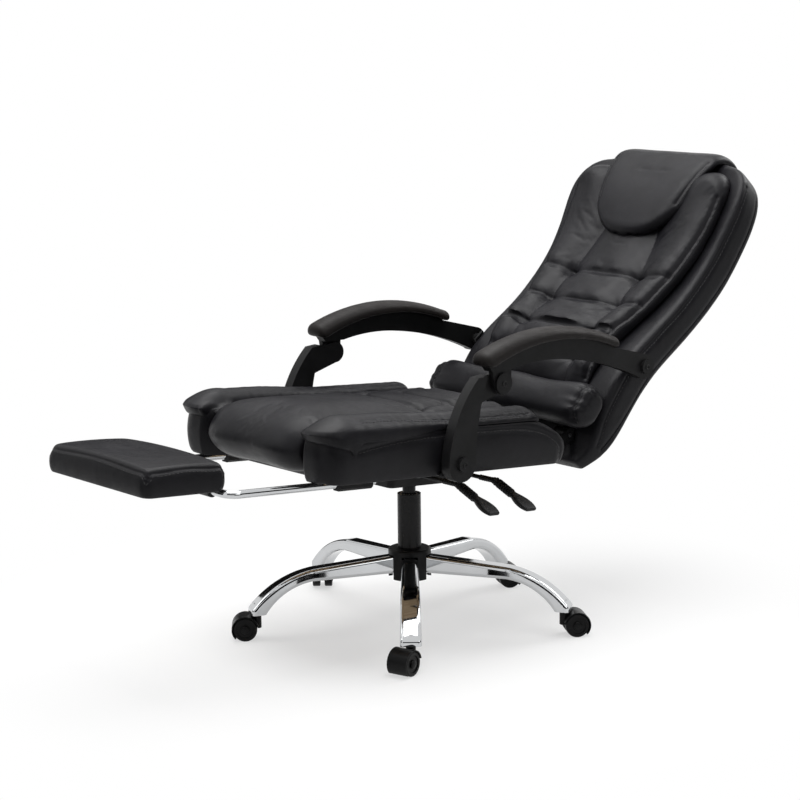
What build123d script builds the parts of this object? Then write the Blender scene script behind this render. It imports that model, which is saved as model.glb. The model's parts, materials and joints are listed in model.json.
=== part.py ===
from build123d import *
import os
from math import cos, hypot, radians, sin

# Reclining office chair with a slide-out footrest, in millimetres and degrees.
# The origin is on the floor under the column, +Z is up and the sitter faces -Y.

os.makedirs("parts", exist_ok=True)

# Fits and small gaps
running_gap = 0.05
seat_gap = 0.3
side_gap = 0.5

# Star base
leg_count = 5
leg_first_angle = -41.0
stem_circle_r = 338.0
leg_root_z = 135.0
leg_root_h = 39.0
leg_root_w = 33.0
leg_tip_w = 44.0
leg_tip_z = 55.0
leg_tip_h = 32.0
leg_tip_offset = 2.0
leg_heel_h = 10.0
leg_bend_run = 123.0
leg_bend_h = 26.0
leg_overlap = 6.0
leg_wall = 2.2
leg_edge_r = 8.0
hub_r = 38.0
hub_low_z = 109.0
hub_top_z = 159.0
hub_cover_r = 45.5
hub_cover_low_z = 103.0
hub_cover_top_z = 167.0
stem_socket_depth = 22.0

# Gas lift
tube_r = 25.0
tube_wall = 4.0
tube_low_z = 105.0
tube_top_z = 285.0
tube_floor = 4.0
bush_length = 60.0
cylinder_r = 14.0
cylinder_wall = 2.5
cylinder_low_z = 127.0
gland_length = 16.0
rod_r = 5.0
rod_flange_r = 15.0
rod_flange_t = 4.0
bearing_r = 18.0
bearing_t = 6.0
piston_t = 12.0
piston_top_z = 295.0

# Casters
wheel_r = 25.0
wheel_w = 17.0
wheel_edge_r = 2.5
wheel_dish_r = 18.0
wheel_dish = 2.0
web_w = 9.0
trail = 24.0
hood_gap = 1.3
hood_wall = 2.2
hood_lip = 0.8
hood_cut_angle = -28.0
hood_cut_drop = 7.0
axle_r = 4.0
caster_stem_r = 5.5
boss_r = 10.0
boss_top_z = 53.6
stem_low_z = 40.0
stem_flange_r = 8.5
caster_angles = (-75.0, 58.0, 66.0, 139.0, 232.0)

# Seat
seat_z = 376.0
seat_tilt = 4.5
seat_half_w = 246.0
seat_front = -378.0
seat_rear = 246.0
seat_h = 92.0
seat_corner_r = 46.0
board_t = 12.0
board_inset = 14.0
pad_crest = 28.0
pad_rear = 150.0
pad_centre_half_w = 150.0
pad_channel_w = 9.0
pad_side_half_w = 242.0
pad_web_t = 6.0
front_roll = 62.0
pad_brow = 40.0
pad_sink = 30.0
wing_reach = 72.0
wing_tip = 95.0
arc_share = 0.707
pad_rows = (-70.0, 30.0)
row_groove_r = 9.0
row_groove_depth = 5.0

# Tilt mechanism
mechanism_half_w = 55.0
mechanism_front = -95.0
mechanism_rear = 130.0
mechanism_depth = 66.0
mechanism_wall = 3.0
flange_t = 4.0
flange_half_w = 92.0
flange_margin = 18.0
socket_wall = 5.0
socket_low_z = 302.0
bolt_r = 4.0
bolt_head_r = 6.5
bolt_head_t = 5.0
bolt_x = 74.0
bolt_inset = 12.0

# Levers
lever_ys = {"height": -35.0, "recline": 68.0}
lever_pivot_x = 72.0
lever_drop = 37.0
lever_rod_r = 4.5
lever_eye_r = 7.0
lever_eye_w = 13.6
lever_pin_r = 3.0
lever_ear_t = 4.0
lever_bend_x = 198.0
lever_bend_r = 16.0
lever_fall = 21.0
lever_tail = 40.0
grip_start = 12.0
grip_sleeve = 46.0
grip_sleeve_r = 8.0
grip_rib_r = 9.6
grip_rib_w = 3.0
grip_ribs = 6
grip_paddle = 58.0
grip_paddle_w = 34.0

# Footrest
foot_tube_r = 8.0
foot_tube_wall = 1.5
foot_tube_x = 182.0
foot_tube_drop = 14.0
foot_cross_y = -604.0
foot_tube_rear = -250.0
foot_bend_r = 25.0
guide_front = -345.0
guide_rear = -262.0
guide_wall = 5.0
foot_half_w = 165.0
foot_front = -780.0
foot_rear = -600.0
foot_pad_t = 45.0
foot_board_t = 4.0
foot_board_rise = 8.5
foot_clamp_x = 110.0
foot_clamp_w = 40.0
foot_clamp_wall = 4.5

# Recline linkage: the side links and the back turn alike, as a parallelogram
hinge_y = 320.0
hinge_z = 387.0
post_y = -98.0
post_z = 405.0
link_y = 110.0
link_z = 150.0
recline = 41.0
hinge_x = 142.0
hinge_pin_r = 5.0
hinge_head_r = 8.0
hinge_head_t = 3.0
hinge_lug_r = 14.0
hinge_lug_w = 28.0
ear_t = 5.0
ear_r = 16.0
bracket_front = 120.0
bracket_t = 4.0

# Back: distance up the back, depth of the middle, half width and thickness
back_stations = (
    (-52.0, -34.0, 196.0, 34.0),
    (0.0, -34.0, 226.0, 52.0),
    (70.0, -20.0, 238.0, 84.0),
    (185.0, -20.0, 242.0, 92.0),
    (280.0, -50.0, 241.0, 90.0),
    (380.0, -78.0, 245.0, 88.0),
    (490.0, -91.0, 251.0, 90.0),
    (570.0, -86.0, 258.0, 90.0),
    (640.0, -75.0, 262.0, 88.0),
    (690.0, -66.0, 250.0, 80.0),
    (726.0, -58.0, 212.0, 66.0),
    (746.0, -54.0, 156.0, 46.0),
)
back_edge_share = 0.22
frame_bar_w = 28.0
frame_bar_t = 6.0
frame_bar_s = 430.0
frame_bar_n = -88.0
frame_cross_h = 30.0
arm_ear_t = 6.0
arm_ear_half = 18.0
arm_ear_cover = 4.5
cushion_half_w = 222.0
cushion_columns = 104.0
cushion_waist_s = 282.0
cushion_corner_drop = 74.0
cushion_low_s = 98.0
cushion_top_s = 728.0
cushion_rise = 48.0
cushion_rows = (155.0, 240.0, 325.0, 412.0)
bolster_half_w = 246.0
bolster_s = 46.0
bolster_n = 58.0
bolster_half_s = 51.0
bolster_half_n = 40.0
head_half_w = 142.0
head_low_s = 512.0
head_t = 24.0
head_corner_rise = 86.0

# Arms
arm_x = 264.0
arm_t = 24.0
arm_bolt_r = 6.0
arm_washer_r = 13.0
arm_head_r = 15.0
arm_head_t = 7.0
post_foot_r = 36.0
elbow_r = 23.5
elbow_eye_r = 22.0
elbow_cap_t = 5.0
rear_boss_r = 27.0
arm_pad_half_w = 29.0
arm_pad_t = 26.0
tab_t = 3.4
tab_half_w = 30.0
tab_top = 44.0
strap_x = 148.0
strap_bolt_x = 159.0

# Shared places and directions
arm_inner_x = arm_x - arm_t / 2
arm_outer_x = arm_x + arm_t / 2
seat_back_dir = Vector(0, cos(radians(seat_tilt)), -sin(radians(seat_tilt)))
seat_up_dir = Vector(0, sin(radians(seat_tilt)), cos(radians(seat_tilt)))
seat_origin = Vector(0, 0, seat_z)
seat_plane = Plane(origin=seat_origin, x_dir=(1, 0, 0), z_dir=seat_up_dir)
seat_side = Plane(origin=seat_origin, x_dir=seat_back_dir, z_dir=(1, 0, 0))
back_up_dir = Vector(0, sin(radians(recline)), cos(radians(recline)))
back_front_dir = Vector(0, -cos(radians(recline)), sin(radians(recline)))
hinge = Vector(0, hinge_y, hinge_z)
post_foot = Vector(0, post_y, post_z)
elbow = post_foot + Vector(0, link_y, link_z)
rear_bolt = hinge + Vector(0, link_y, link_z)
back_side = Plane(origin=hinge, x_dir=back_up_dir, z_dir=(1, 0, 0))


def write(piece, name):
    """Label a finished piece and write it as its own file."""
    piece.label = name
    export_step(piece, f"parts/{name}.step")


def seat_point(x, y, z):
    """A point given across, along and above the tilted seat."""
    return seat_origin + Vector(x, 0, 0) + seat_back_dir * y + seat_up_dir * z


def on_seat(point):
    """A side-view point of the chair, along and above the tilted seat."""
    offset = point - seat_origin
    return offset.dot(seat_back_dir), offset.dot(seat_up_dir)


def across(x, y, z):
    """A plane square to X through a point, with Y to its right and Z up."""
    return Plane(origin=(x, y, z), x_dir=(0, 1, 0), z_dir=(1, 0, 0))


def disc(plane, radius, length, mode=Mode.ADD):
    """A round bar or bore from a plane along its normal."""
    with BuildSketch(plane) as face:
        Circle(radius)
    extrude(face.sketch, amount=length, mode=mode)


def outline(plane, *edges):
    """A face bounded by lines (two points) and arcs (three points)."""
    with BuildSketch(plane) as face:
        with BuildLine():
            for edge in edges:
                if len(edge) == 2:
                    Line(*edge)
                else:
                    ThreePointArc(*edge)
        make_face()
    return face.sketch


# Star base: five arched legs of pressed tube on one hub
leg_bend_x = stem_circle_r - leg_bend_run
leg_end_x = stem_circle_r + leg_tip_h / 2 - leg_tip_offset
leg_top_z = leg_root_z + leg_root_h / 2
leg_low_z = leg_root_z - leg_root_h / 2


def leg_side():
    """The side view of one leg along X: straight from the hub, then arched down to its tip."""
    root = hub_r - leg_overlap
    bend_top = leg_low_z + leg_bend_h
    return outline(
        Plane.XZ,
        ((root, leg_low_z), (leg_bend_x, leg_low_z)),
        (
            (leg_bend_x, leg_low_z),
            (leg_bend_x + 0.62 * (leg_bend_run - leg_tip_h / 2), leg_tip_z + 0.63 * (leg_low_z - leg_tip_z)),
            (leg_end_x - leg_tip_h, leg_tip_z),
        ),
        ((leg_end_x - leg_tip_h, leg_tip_z), (leg_end_x, leg_tip_z)),
        ((leg_end_x, leg_tip_z), (leg_end_x, leg_tip_z + leg_heel_h)),
        (
            (leg_end_x, leg_tip_z + leg_heel_h),
            (
                leg_bend_x + 0.62 * leg_bend_run,
                leg_tip_z + leg_heel_h + 0.67 * (bend_top - leg_tip_z - leg_heel_h),
            ),
            (leg_bend_x, bend_top),
        ),
        ((leg_bend_x, bend_top), (root, leg_top_z)),
        ((root, leg_top_z), (root, leg_low_z)),
    )


def leg_plan(inset):
    """The plan of one leg along X, widening to its tip and drawn in by an inset."""
    root = hub_r - leg_overlap
    root_half = leg_root_w / 2 - inset
    tip_half = leg_tip_w / 2 - inset
    return outline(
        Plane.XY,
        ((root, -root_half), (leg_end_x, -tip_half)),
        ((leg_end_x, -tip_half), (leg_end_x, tip_half)),
        ((leg_end_x, tip_half), (root, root_half)),
        ((root, root_half), (root, -root_half)),
    )


with BuildPart() as leg_core:
    extrude(offset(leg_side(), amount=-leg_wall), amount=leg_tip_w, both=True)
    extrude(leg_plan(leg_wall), amount=leg_top_z, mode=Mode.INTERSECT)
    split(bisect_by=Plane(origin=(leg_bend_x + 0.5 * leg_bend_run, 0, 0), z_dir=(-1, 0, 0)), keep=Keep.TOP)

with BuildPart() as leg:
    extrude(leg_side(), amount=leg_tip_w, both=True)
    extrude(leg_plan(0), amount=leg_top_z, mode=Mode.INTERSECT)
    heel_edges = leg.edges().filter_by(Axis.Z).group_by(Axis.X)[-1]
    fillet(heel_edges, leg_edge_r)
    long_edges = leg.edges().filter_by(lambda edge: edge.length > leg_bend_run and abs(edge.center().Y) > 1)
    fillet(long_edges, leg_edge_r)
    add(leg_core.part, mode=Mode.SUBTRACT)

with BuildPart() as star_base:
    disc(Plane.XY.offset(hub_low_z), hub_r, hub_top_z - hub_low_z)
    with PolarLocations(0, leg_count, start_angle=leg_first_angle):
        add(leg.part)
    disc(Plane.XY.offset(hub_low_z), tube_r, hub_top_z - hub_low_z, Mode.SUBTRACT)
    with BuildSketch(Plane.XY.offset(leg_tip_z)):
        with PolarLocations(stem_circle_r, leg_count, start_angle=leg_first_angle):
            Circle(caster_stem_r + running_gap)
    extrude(amount=stem_socket_depth, mode=Mode.SUBTRACT)

with BuildPart() as hub_cover:
    disc(Plane.XY.offset(hub_cover_low_z), hub_cover_r, hub_cover_top_z - hub_cover_low_z)
    fillet(hub_cover.edges().group_by(Axis.Z)[-1], 5.0)
    disc(Plane.XY.offset(hub_cover_low_z), hub_r, hub_top_z - hub_cover_low_z, Mode.SUBTRACT)
    disc(Plane.XY.offset(hub_cover_low_z), tube_r, hub_cover_top_z - hub_cover_low_z, Mode.SUBTRACT)
    with BuildSketch(Plane.XY.offset(hub_cover_low_z)):
        with PolarLocations(hub_cover_r, leg_count, start_angle=leg_first_angle):
            Rectangle(2 * hub_cover_r - hub_r, leg_root_w + 2 * side_gap)
    extrude(amount=leg_root_z + leg_root_h / 2 + side_gap - hub_cover_low_z, mode=Mode.SUBTRACT)

# Gas lift: fixed tube and bush, turning rod, rising cylinder
with BuildPart() as gas_lift_tube:
    disc(Plane.XY.offset(tube_low_z), tube_r, tube_top_z - tube_low_z)
    disc(Plane.XY.offset(tube_low_z + tube_floor), tube_r - tube_wall, tube_top_z, Mode.SUBTRACT)
    disc(Plane.XY.offset(tube_low_z), rod_r + running_gap, tube_floor, Mode.SUBTRACT)

with BuildPart() as guide_bush:
    disc(Plane.XY.offset(tube_top_z - bush_length), tube_r - tube_wall, bush_length)
    disc(Plane.XY.offset(tube_top_z - bush_length), cylinder_r + running_gap, bush_length, Mode.SUBTRACT)

bearing_top_z = tube_low_z + tube_floor + bearing_t
with BuildPart() as thrust_bearing:
    disc(Plane.XY.offset(tube_low_z + tube_floor), bearing_r, bearing_t)
    disc(Plane.XY.offset(tube_low_z + tube_floor), rod_r + running_gap, bearing_t, Mode.SUBTRACT)

with BuildPart() as gas_lift_rod:
    disc(Plane.XY.offset(tube_low_z), rod_r, piston_top_z - tube_low_z)
    disc(Plane.XY.offset(bearing_top_z), rod_flange_r, rod_flange_t)
    disc(Plane.XY.offset(piston_top_z - piston_t), cylinder_r - cylinder_wall - running_gap, piston_t)

cylinder_top_z = seat_z - flange_t - mechanism_wall - mechanism_half_w * sin(radians(seat_tilt))
with BuildPart() as gas_lift_cylinder:
    disc(Plane.XY.offset(cylinder_low_z), cylinder_r, cylinder_top_z - cylinder_low_z)
    disc(
        Plane.XY.offset(cylinder_low_z + gland_length),
        cylinder_r - cylinder_wall,
        cylinder_top_z - cylinder_low_z - 2 * gland_length,
        Mode.SUBTRACT,
    )
    disc(Plane.XY.offset(cylinder_low_z), rod_r + running_gap, gland_length, Mode.SUBTRACT)

write(star_base.part, "star_base")
write(hub_cover.part, "hub_cover")
write(gas_lift_tube.part, "gas_lift_tube")
write(guide_bush.part, "guide_bush")
write(thrust_bearing.part, "thrust_bearing")
write(gas_lift_rod.part, "gas_lift_rod")
write(gas_lift_cylinder.part, "gas_lift_cylinder")

# Casters: one set of pieces about a stem on Z, trailing along X, placed at each leg
axle_plane = Plane(origin=(trail, 0, wheel_r), x_dir=(1, 0, 0), z_dir=(0, -1, 0))
hood_r = wheel_r + hood_gap + hood_wall
wheel_inner = web_w / 2 + side_gap
hood_half_w = wheel_inner + wheel_w + hood_lip

with BuildPart() as hood_form:
    with BuildSketch(axle_plane):
        Circle(hood_r)
        with Locations(Rot(0, 0, hood_cut_angle) * Pos(0, -hood_r - hood_cut_drop)):
            Rectangle(4 * hood_r, 2 * hood_r, mode=Mode.SUBTRACT)
    extrude(amount=hood_half_w, both=True)
    disc(Plane.XY.offset(wheel_r), boss_r, boss_top_z - wheel_r)
    for side in (1, -1):
        well = axle_plane.offset(side * web_w / 2)
        disc(well, wheel_r + hood_gap, side * hood_half_w, Mode.SUBTRACT)
    disc(axle_plane.offset(-web_w), axle_r, 2 * web_w, Mode.SUBTRACT)
    disc(Plane.XY.offset(stem_low_z), caster_stem_r, boss_top_z - stem_low_z, Mode.SUBTRACT)

with BuildPart() as pins_form:
    disc(Plane.XY.offset(stem_low_z), caster_stem_r, leg_tip_z + stem_socket_depth - side_gap - stem_low_z)
    disc(Plane.XY.offset(boss_top_z), stem_flange_r, leg_tip_z - seat_gap - boss_top_z)
    disc(axle_plane.offset(-wheel_inner - wheel_w), axle_r, 2 * (wheel_inner + wheel_w))

wheel_forms = {}
for side, name in ((1, "a"), (-1, "b")):
    with BuildPart() as wheel_form:
        with BuildSketch(axle_plane.offset(side * wheel_inner)):
            Circle(wheel_r)
            Circle(axle_r + running_gap, mode=Mode.SUBTRACT)
        extrude(amount=side * wheel_w)
        fillet(wheel_form.edges().filter_by(GeomType.CIRCLE).group_by(SortBy.RADIUS)[-1], wheel_edge_r)
        with BuildSketch(axle_plane.offset(side * (wheel_inner + wheel_w - wheel_dish))):
            Circle(wheel_dish_r)
            Circle(2 * axle_r, mode=Mode.SUBTRACT)
        extrude(amount=side * wheel_dish, mode=Mode.SUBTRACT)
    wheel_forms[f"wheel_{name}"] = wheel_form.part

caster_forms = {"hood": hood_form.part, "pins": pins_form.part, **wheel_forms}
for index, turn in enumerate(caster_angles):
    leg_angle = radians(leg_first_angle + index * 360.0 / leg_count)
    stem_place = Location((stem_circle_r * cos(leg_angle), stem_circle_r * sin(leg_angle), 0), (0, 0, turn))
    for form_name, form in caster_forms.items():
        with BuildPart() as caster_piece:
            with Locations(stem_place):
                add(form)
        write(caster_piece.part, f"caster_{index + 1}_{form_name}")

# Seat: plywood board, box cushion and tufted pad, all on the tilted seat plane
seat_length = seat_rear - seat_front
seat_middle = (seat_rear + seat_front) / 2


def seat_slab(height, inset):
    """The seat's plan outline at a height, drawn in by an inset."""
    with BuildSketch(seat_plane.offset(height)) as face:
        with Locations((0, seat_middle)):
            RectangleRounded(2 * (seat_half_w - inset), seat_length - 2 * inset, seat_corner_r - inset)
    return face.sketch


with BuildPart() as seat_board:
    extrude(seat_slab(0, board_inset), amount=board_t)
    with BuildSketch(seat_plane):
        with Locations((0, (mechanism_front + mechanism_rear) / 2)):
            with GridLocations(2 * bolt_x, mechanism_rear - mechanism_front + 2 * bolt_inset, 2, 2):
                Circle(bolt_r)
        with Locations((0, on_seat(post_foot)[0])):
            with GridLocations(2 * strap_bolt_x, tab_half_w, 2, 2):
                Circle(bolt_r)
    extrude(amount=board_t, mode=Mode.SUBTRACT)

with BuildPart() as seat_base:
    side_heights = ((0, 10.0), (0.2 * seat_h, 3.0), (0.6 * seat_h, 0.0), (seat_h, 7.0))
    loft([seat_slab(height, inset) for height, inset in side_heights])
    rear_slope = outline(
        seat_side,
        ((seat_rear - 170.0, seat_h + 2), (seat_rear - 54.0, seat_h - 25.0), (seat_rear + 1, 16.0)),
        ((seat_rear + 1, 16.0), (seat_rear + 60.0, 16.0)),
        ((seat_rear + 60.0, 16.0), (seat_rear + 60.0, seat_h + 40.0)),
        ((seat_rear + 60.0, seat_h + 40.0), (seat_rear - 170.0, seat_h + 40.0)),
        ((seat_rear - 170.0, seat_h + 40.0), (seat_rear - 170.0, seat_h + 2)),
    )
    extrude(rear_slope, amount=2 * seat_half_w, both=True, mode=Mode.SUBTRACT)
    extrude(seat_slab(0, board_inset - side_gap), amount=board_t, mode=Mode.SUBTRACT)


def seat_pad_section(x, crest, front, tip, drop):
    """A side-view section of the seat pad: rounded rear, flat crest and a nose at a reach and height."""
    rear = pad_rear
    inside = seat_front + board_inset
    brow = (seat_front + pad_brow, seat_h + crest)
    nose = (front, tip)
    over = (brow[0] + arc_share * (front - brow[0]), tip + arc_share * (brow[1] - tip))
    under = (front + (1 - arc_share) * (inside - front), tip + arc_share * (drop - tip))
    return outline(
        seat_side.offset(x),
        ((inside, seat_h - pad_sink), (rear - 20.0, seat_h - pad_sink)),
        ((rear - 20.0, seat_h - pad_sink), (rear, seat_h)),
        ((rear, seat_h), (rear - 6.0, seat_h + 0.7 * crest), (rear - 30.0, seat_h + crest)),
        ((rear - 30.0, seat_h + crest), brow),
        (brow, over, nose),
        (nose, under, (inside, drop)),
        ((inside, drop), (inside, seat_h - pad_sink)),
    )


def seat_lobe(sections):
    """One swelling lobe of the seat pad, through its side-view sections."""
    loft([seat_pad_section(*section) for section in sections])


centre_edge = pad_centre_half_w
centre_tip = 0.52 * seat_h
centre_lobe = (
    (-centre_edge, 0.35 * pad_crest, seat_front - 0.6 * front_roll, centre_tip, 14.0),
    (-0.8 * centre_edge, 0.8 * pad_crest, seat_front - 0.92 * front_roll, centre_tip, 3.0),
    (0.0, pad_crest, seat_front - front_roll, centre_tip, 2.0),
    (0.8 * centre_edge, 0.8 * pad_crest, seat_front - 0.92 * front_roll, centre_tip, 3.0),
    (centre_edge, 0.35 * pad_crest, seat_front - 0.6 * front_roll, centre_tip, 14.0),
)
side_inner = pad_centre_half_w + pad_channel_w
side_middle = (side_inner + pad_side_half_w) / 2
side_shoulder = 0.6 * side_inner + 0.4 * side_middle
side_outer = (side_middle + pad_side_half_w) / 2
side_lobe = (
    (side_inner, 0.3 * pad_crest, seat_front - 0.7 * wing_reach, wing_tip, seat_h - 14.0),
    (side_shoulder, 0.8 * pad_crest, seat_front - 0.95 * wing_reach, wing_tip, seat_h - 16.0),
    (side_middle, 0.9 * pad_crest, seat_front - wing_reach, wing_tip, seat_h - 16.0),
    (side_outer, 0.7 * pad_crest, seat_front - 0.8 * wing_reach, wing_tip, seat_h - 14.0),
    (pad_side_half_w, 0.2 * pad_crest, seat_front - 0.25 * wing_reach, wing_tip, seat_h - 10.0),
)

with BuildPart() as centre_pad:
    seat_lobe(centre_lobe)

with BuildPart() as side_pad:
    seat_lobe(side_lobe)

with BuildPart() as seat_pad:
    add(centre_pad.part)
    add(side_pad.part)
    add(side_pad.part.mirror(Plane.YZ))
    with BuildSketch(seat_plane.offset(seat_h)):
        with Locations((0, (pad_rear + seat_front) / 2)):
            Rectangle(2 * side_middle, pad_rear - seat_front - 2 * board_inset)
    extrude(amount=pad_web_t)
    for row in pad_rows:
        groove = Plane(
            origin=seat_point(-centre_edge, row, seat_h + pad_crest + row_groove_r - row_groove_depth),
            z_dir=(1, 0, 0),
        )
        disc(groove, row_groove_r, 2 * centre_edge, Mode.SUBTRACT)
    add(seat_base.part, mode=Mode.SUBTRACT)

write(seat_board.part, "seat_board")
write(seat_base.part, "seat_base")
write(seat_pad.part, "seat_pad")

# Tilt mechanism: pressed housing with a flange, column socket and lever ears
lever_z = -lever_drop
housing_middle = (mechanism_front + mechanism_rear) / 2
housing_length = mechanism_rear - mechanism_front
with BuildPart() as tilt_mechanism:
    with BuildSketch(seat_plane):
        with Locations((0, housing_middle)):
            RectangleRounded(2 * flange_half_w, housing_length + 4 * flange_margin, flange_margin)
    extrude(amount=-flange_t)
    with BuildSketch(seat_plane.offset(-flange_t)):
        with Locations((0, housing_middle)):
            RectangleRounded(2 * mechanism_half_w, housing_length, flange_margin)
    extrude(amount=flange_t - mechanism_depth, taper=6)
    with BuildSketch(seat_plane.offset(-flange_t)):
        with Locations((0, housing_middle)):
            RectangleRounded(
                2 * (mechanism_half_w - mechanism_wall),
                housing_length - 2 * mechanism_wall,
                flange_margin - mechanism_wall,
            )
    extrude(amount=flange_t - mechanism_depth + mechanism_wall, taper=6, mode=Mode.SUBTRACT)
    disc(Plane.XY.offset(socket_low_z), cylinder_r + socket_wall, cylinder_top_z - socket_low_z)
    disc(Plane.XY.offset(socket_low_z), cylinder_r, cylinder_top_z - socket_low_z, Mode.SUBTRACT)
    for lever_y in lever_ys.values():
        for side in (1, -1):
            ear_y = lever_y + side * (lever_eye_w / 2 + seat_gap)
            ear_low = lever_z - lever_eye_r - side_gap
            ear_plane = Plane(origin=seat_point(0, ear_y, 0), x_dir=(1, 0, 0), z_dir=-seat_back_dir)
            ear_root = mechanism_half_w - 3 * mechanism_wall
            with BuildSketch(ear_plane):
                with BuildLine():
                    Polyline(
                        (ear_root, lever_z + lever_eye_r),
                        (lever_pivot_x + lever_eye_r, lever_z + lever_eye_r),
                        (lever_pivot_x + lever_eye_r, ear_low),
                        (ear_root, ear_low),
                        close=True,
                    )
                make_face()
                with Locations((lever_pivot_x, lever_z)):
                    Circle(lever_pin_r, mode=Mode.SUBTRACT)
            extrude(amount=-side * lever_ear_t)
    with BuildSketch(seat_plane):
        with Locations((0, housing_middle)):
            with GridLocations(2 * bolt_x, housing_length + 2 * bolt_inset, 2, 2):
                Circle(bolt_r)
    extrude(amount=-flange_t, mode=Mode.SUBTRACT)

write(tilt_mechanism.part, "tilt_mechanism")

with BuildPart() as mechanism_bolts:
    for x in (-bolt_x, bolt_x):
        for y in (mechanism_front - bolt_inset, mechanism_rear + bolt_inset):
            under = Plane(origin=seat_point(x, y, -flange_t), x_dir=(1, 0, 0), z_dir=seat_up_dir)
            disc(under, bolt_r, flange_t + board_t)
            disc(under, bolt_head_r, -bolt_head_t)
    for x in (-strap_bolt_x, strap_bolt_x):
        for side in (-0.5, 0.5):
            y = on_seat(post_foot)[0] + side * tab_half_w
            under = Plane(origin=seat_point(x, y, -bracket_t), x_dir=(1, 0, 0), z_dir=seat_up_dir)
            disc(under, bolt_r, bracket_t + board_t)
            disc(under, bolt_head_r, -bolt_head_t)

write(mechanism_bolts.part, "mechanism_bolts")

# Levers: bent rod with an eye on a pivot pin, and a ribbed grip with a paddle
fall_dir = Vector(cos(radians(lever_fall)), 0, 0) - seat_up_dir * sin(radians(lever_fall))
with BuildPart() as lever_pivots:
    for lever_y in lever_ys.values():
        reach = lever_eye_w / 2 + seat_gap + lever_ear_t
        pin = Plane(origin=seat_point(lever_pivot_x, lever_y - reach, lever_z), z_dir=seat_back_dir)
        disc(pin, lever_pin_r, 2 * reach)
write(lever_pivots.part, "lever_pivots")

for lever_name, lever_y in lever_ys.items():
    pivot = seat_point(lever_pivot_x, lever_y, lever_z)
    bend = seat_point(lever_bend_x, lever_y, lever_z)
    end = bend + fall_dir * lever_tail
    with BuildPart() as lever_rod:
        with BuildLine() as rod_path:
            FilletPolyline(pivot, bend, end, radius=lever_bend_r)
        with BuildSketch(Plane(origin=pivot, z_dir=(1, 0, 0))):
            Circle(lever_rod_r)
        sweep(path=rod_path.line)
        eye = Plane(origin=pivot - seat_back_dir * (lever_eye_w / 2), z_dir=seat_back_dir)
        disc(eye, lever_eye_r, lever_eye_w)
        disc(eye, lever_pin_r + running_gap, lever_eye_w, Mode.SUBTRACT)

    grip_plane = Plane(origin=bend + fall_dir * grip_start, x_dir=seat_back_dir, z_dir=fall_dir)
    with BuildPart() as lever_grip:
        disc(grip_plane, grip_sleeve_r, grip_sleeve)
        rib_pitch = (grip_sleeve - grip_rib_w) / grip_ribs
        for rib in range(grip_ribs):
            disc(grip_plane.offset(rib * rib_pitch), grip_rib_r, grip_rib_w)
        paddle_sections = (
            (0.0, 1.8 * grip_sleeve_r, 1.8 * grip_sleeve_r),
            (0.3 * grip_paddle, 0.85 * grip_paddle_w, 1.7 * grip_sleeve_r),
            (0.8 * grip_paddle, grip_paddle_w, 1.4 * grip_sleeve_r),
            (grip_paddle, 0.8 * grip_paddle_w, 0.9 * grip_sleeve_r),
        )
        for reach, width, depth in paddle_sections:
            with BuildSketch(grip_plane.offset(grip_sleeve + reach)):
                RectangleRounded(width, depth, 0.45 * min(width, depth))
        loft(ruled=False)
        disc(grip_plane, lever_rod_r, lever_tail - grip_start, Mode.SUBTRACT)

    write(lever_rod.part, f"{lever_name}_lever_rod")
    write(lever_grip.part, f"{lever_name}_lever_grip")

# Footrest: chrome U tube in two guides, board clamped round its cross tube, and pad
tube_z = -foot_tube_drop
with BuildPart() as footrest_frame:
    corners = (
        seat_point(-foot_tube_x, foot_tube_rear, tube_z),
        seat_point(-foot_tube_x, foot_cross_y, tube_z),
        seat_point(foot_tube_x, foot_cross_y, tube_z),
        seat_point(foot_tube_x, foot_tube_rear, tube_z),
    )
    with BuildLine() as tube_path:
        FilletPolyline(*corners, radius=foot_bend_r)
    with BuildSketch(Plane(origin=corners[0], z_dir=-seat_back_dir)):
        Circle(foot_tube_r)
        Circle(foot_tube_r - foot_tube_wall, mode=Mode.SUBTRACT)
    sweep(path=tube_path.line)

with BuildPart() as footrest_guides:
    for side in (-1, 1):
        front = Plane(
            origin=seat_point(side * foot_tube_x, guide_front, 0), x_dir=(1, 0, 0), z_dir=seat_back_dir
        )
        guide_half = foot_tube_r + guide_wall
        with BuildSketch(front):
            with BuildLine():
                Polyline(
                    (-guide_half, 0),
                    (guide_half, 0),
                    (guide_half, foot_tube_drop + guide_half - guide_wall),
                    (0.6 * guide_half, foot_tube_drop + guide_half),
                    (-0.6 * guide_half, foot_tube_drop + guide_half),
                    (-guide_half, foot_tube_drop + guide_half - guide_wall),
                    close=True,
                )
            make_face()
            with Locations((0, foot_tube_drop)):
                Circle(foot_tube_r + running_gap, mode=Mode.SUBTRACT)
        extrude(amount=guide_rear - guide_front)

foot_board_z = tube_z + foot_board_rise
foot_pad_z = foot_board_z + foot_board_t
with BuildPart() as footrest_board:
    with BuildSketch(seat_plane.offset(foot_board_z)):
        with Locations((0, (foot_front + foot_rear) / 2)):
            RectangleRounded(2 * foot_half_w - 30.0, foot_rear - foot_front - 20.0, 10.0)
    extrude(amount=foot_board_t)
    for side in (-1, 1):
        clamp_x = side * foot_clamp_x - foot_clamp_w / 2
        clamp = Plane(origin=seat_point(clamp_x, foot_cross_y, tube_z), z_dir=(1, 0, 0))
        disc(clamp, foot_tube_r + foot_clamp_wall, foot_clamp_w)
    split(bisect_by=seat_plane.offset(foot_pad_z), keep=Keep.BOTTOM)
    bore = Plane(origin=seat_point(-foot_tube_x, foot_cross_y, tube_z), z_dir=(1, 0, 0))
    disc(bore, foot_tube_r + running_gap, 2 * foot_tube_x, Mode.SUBTRACT)

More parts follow.
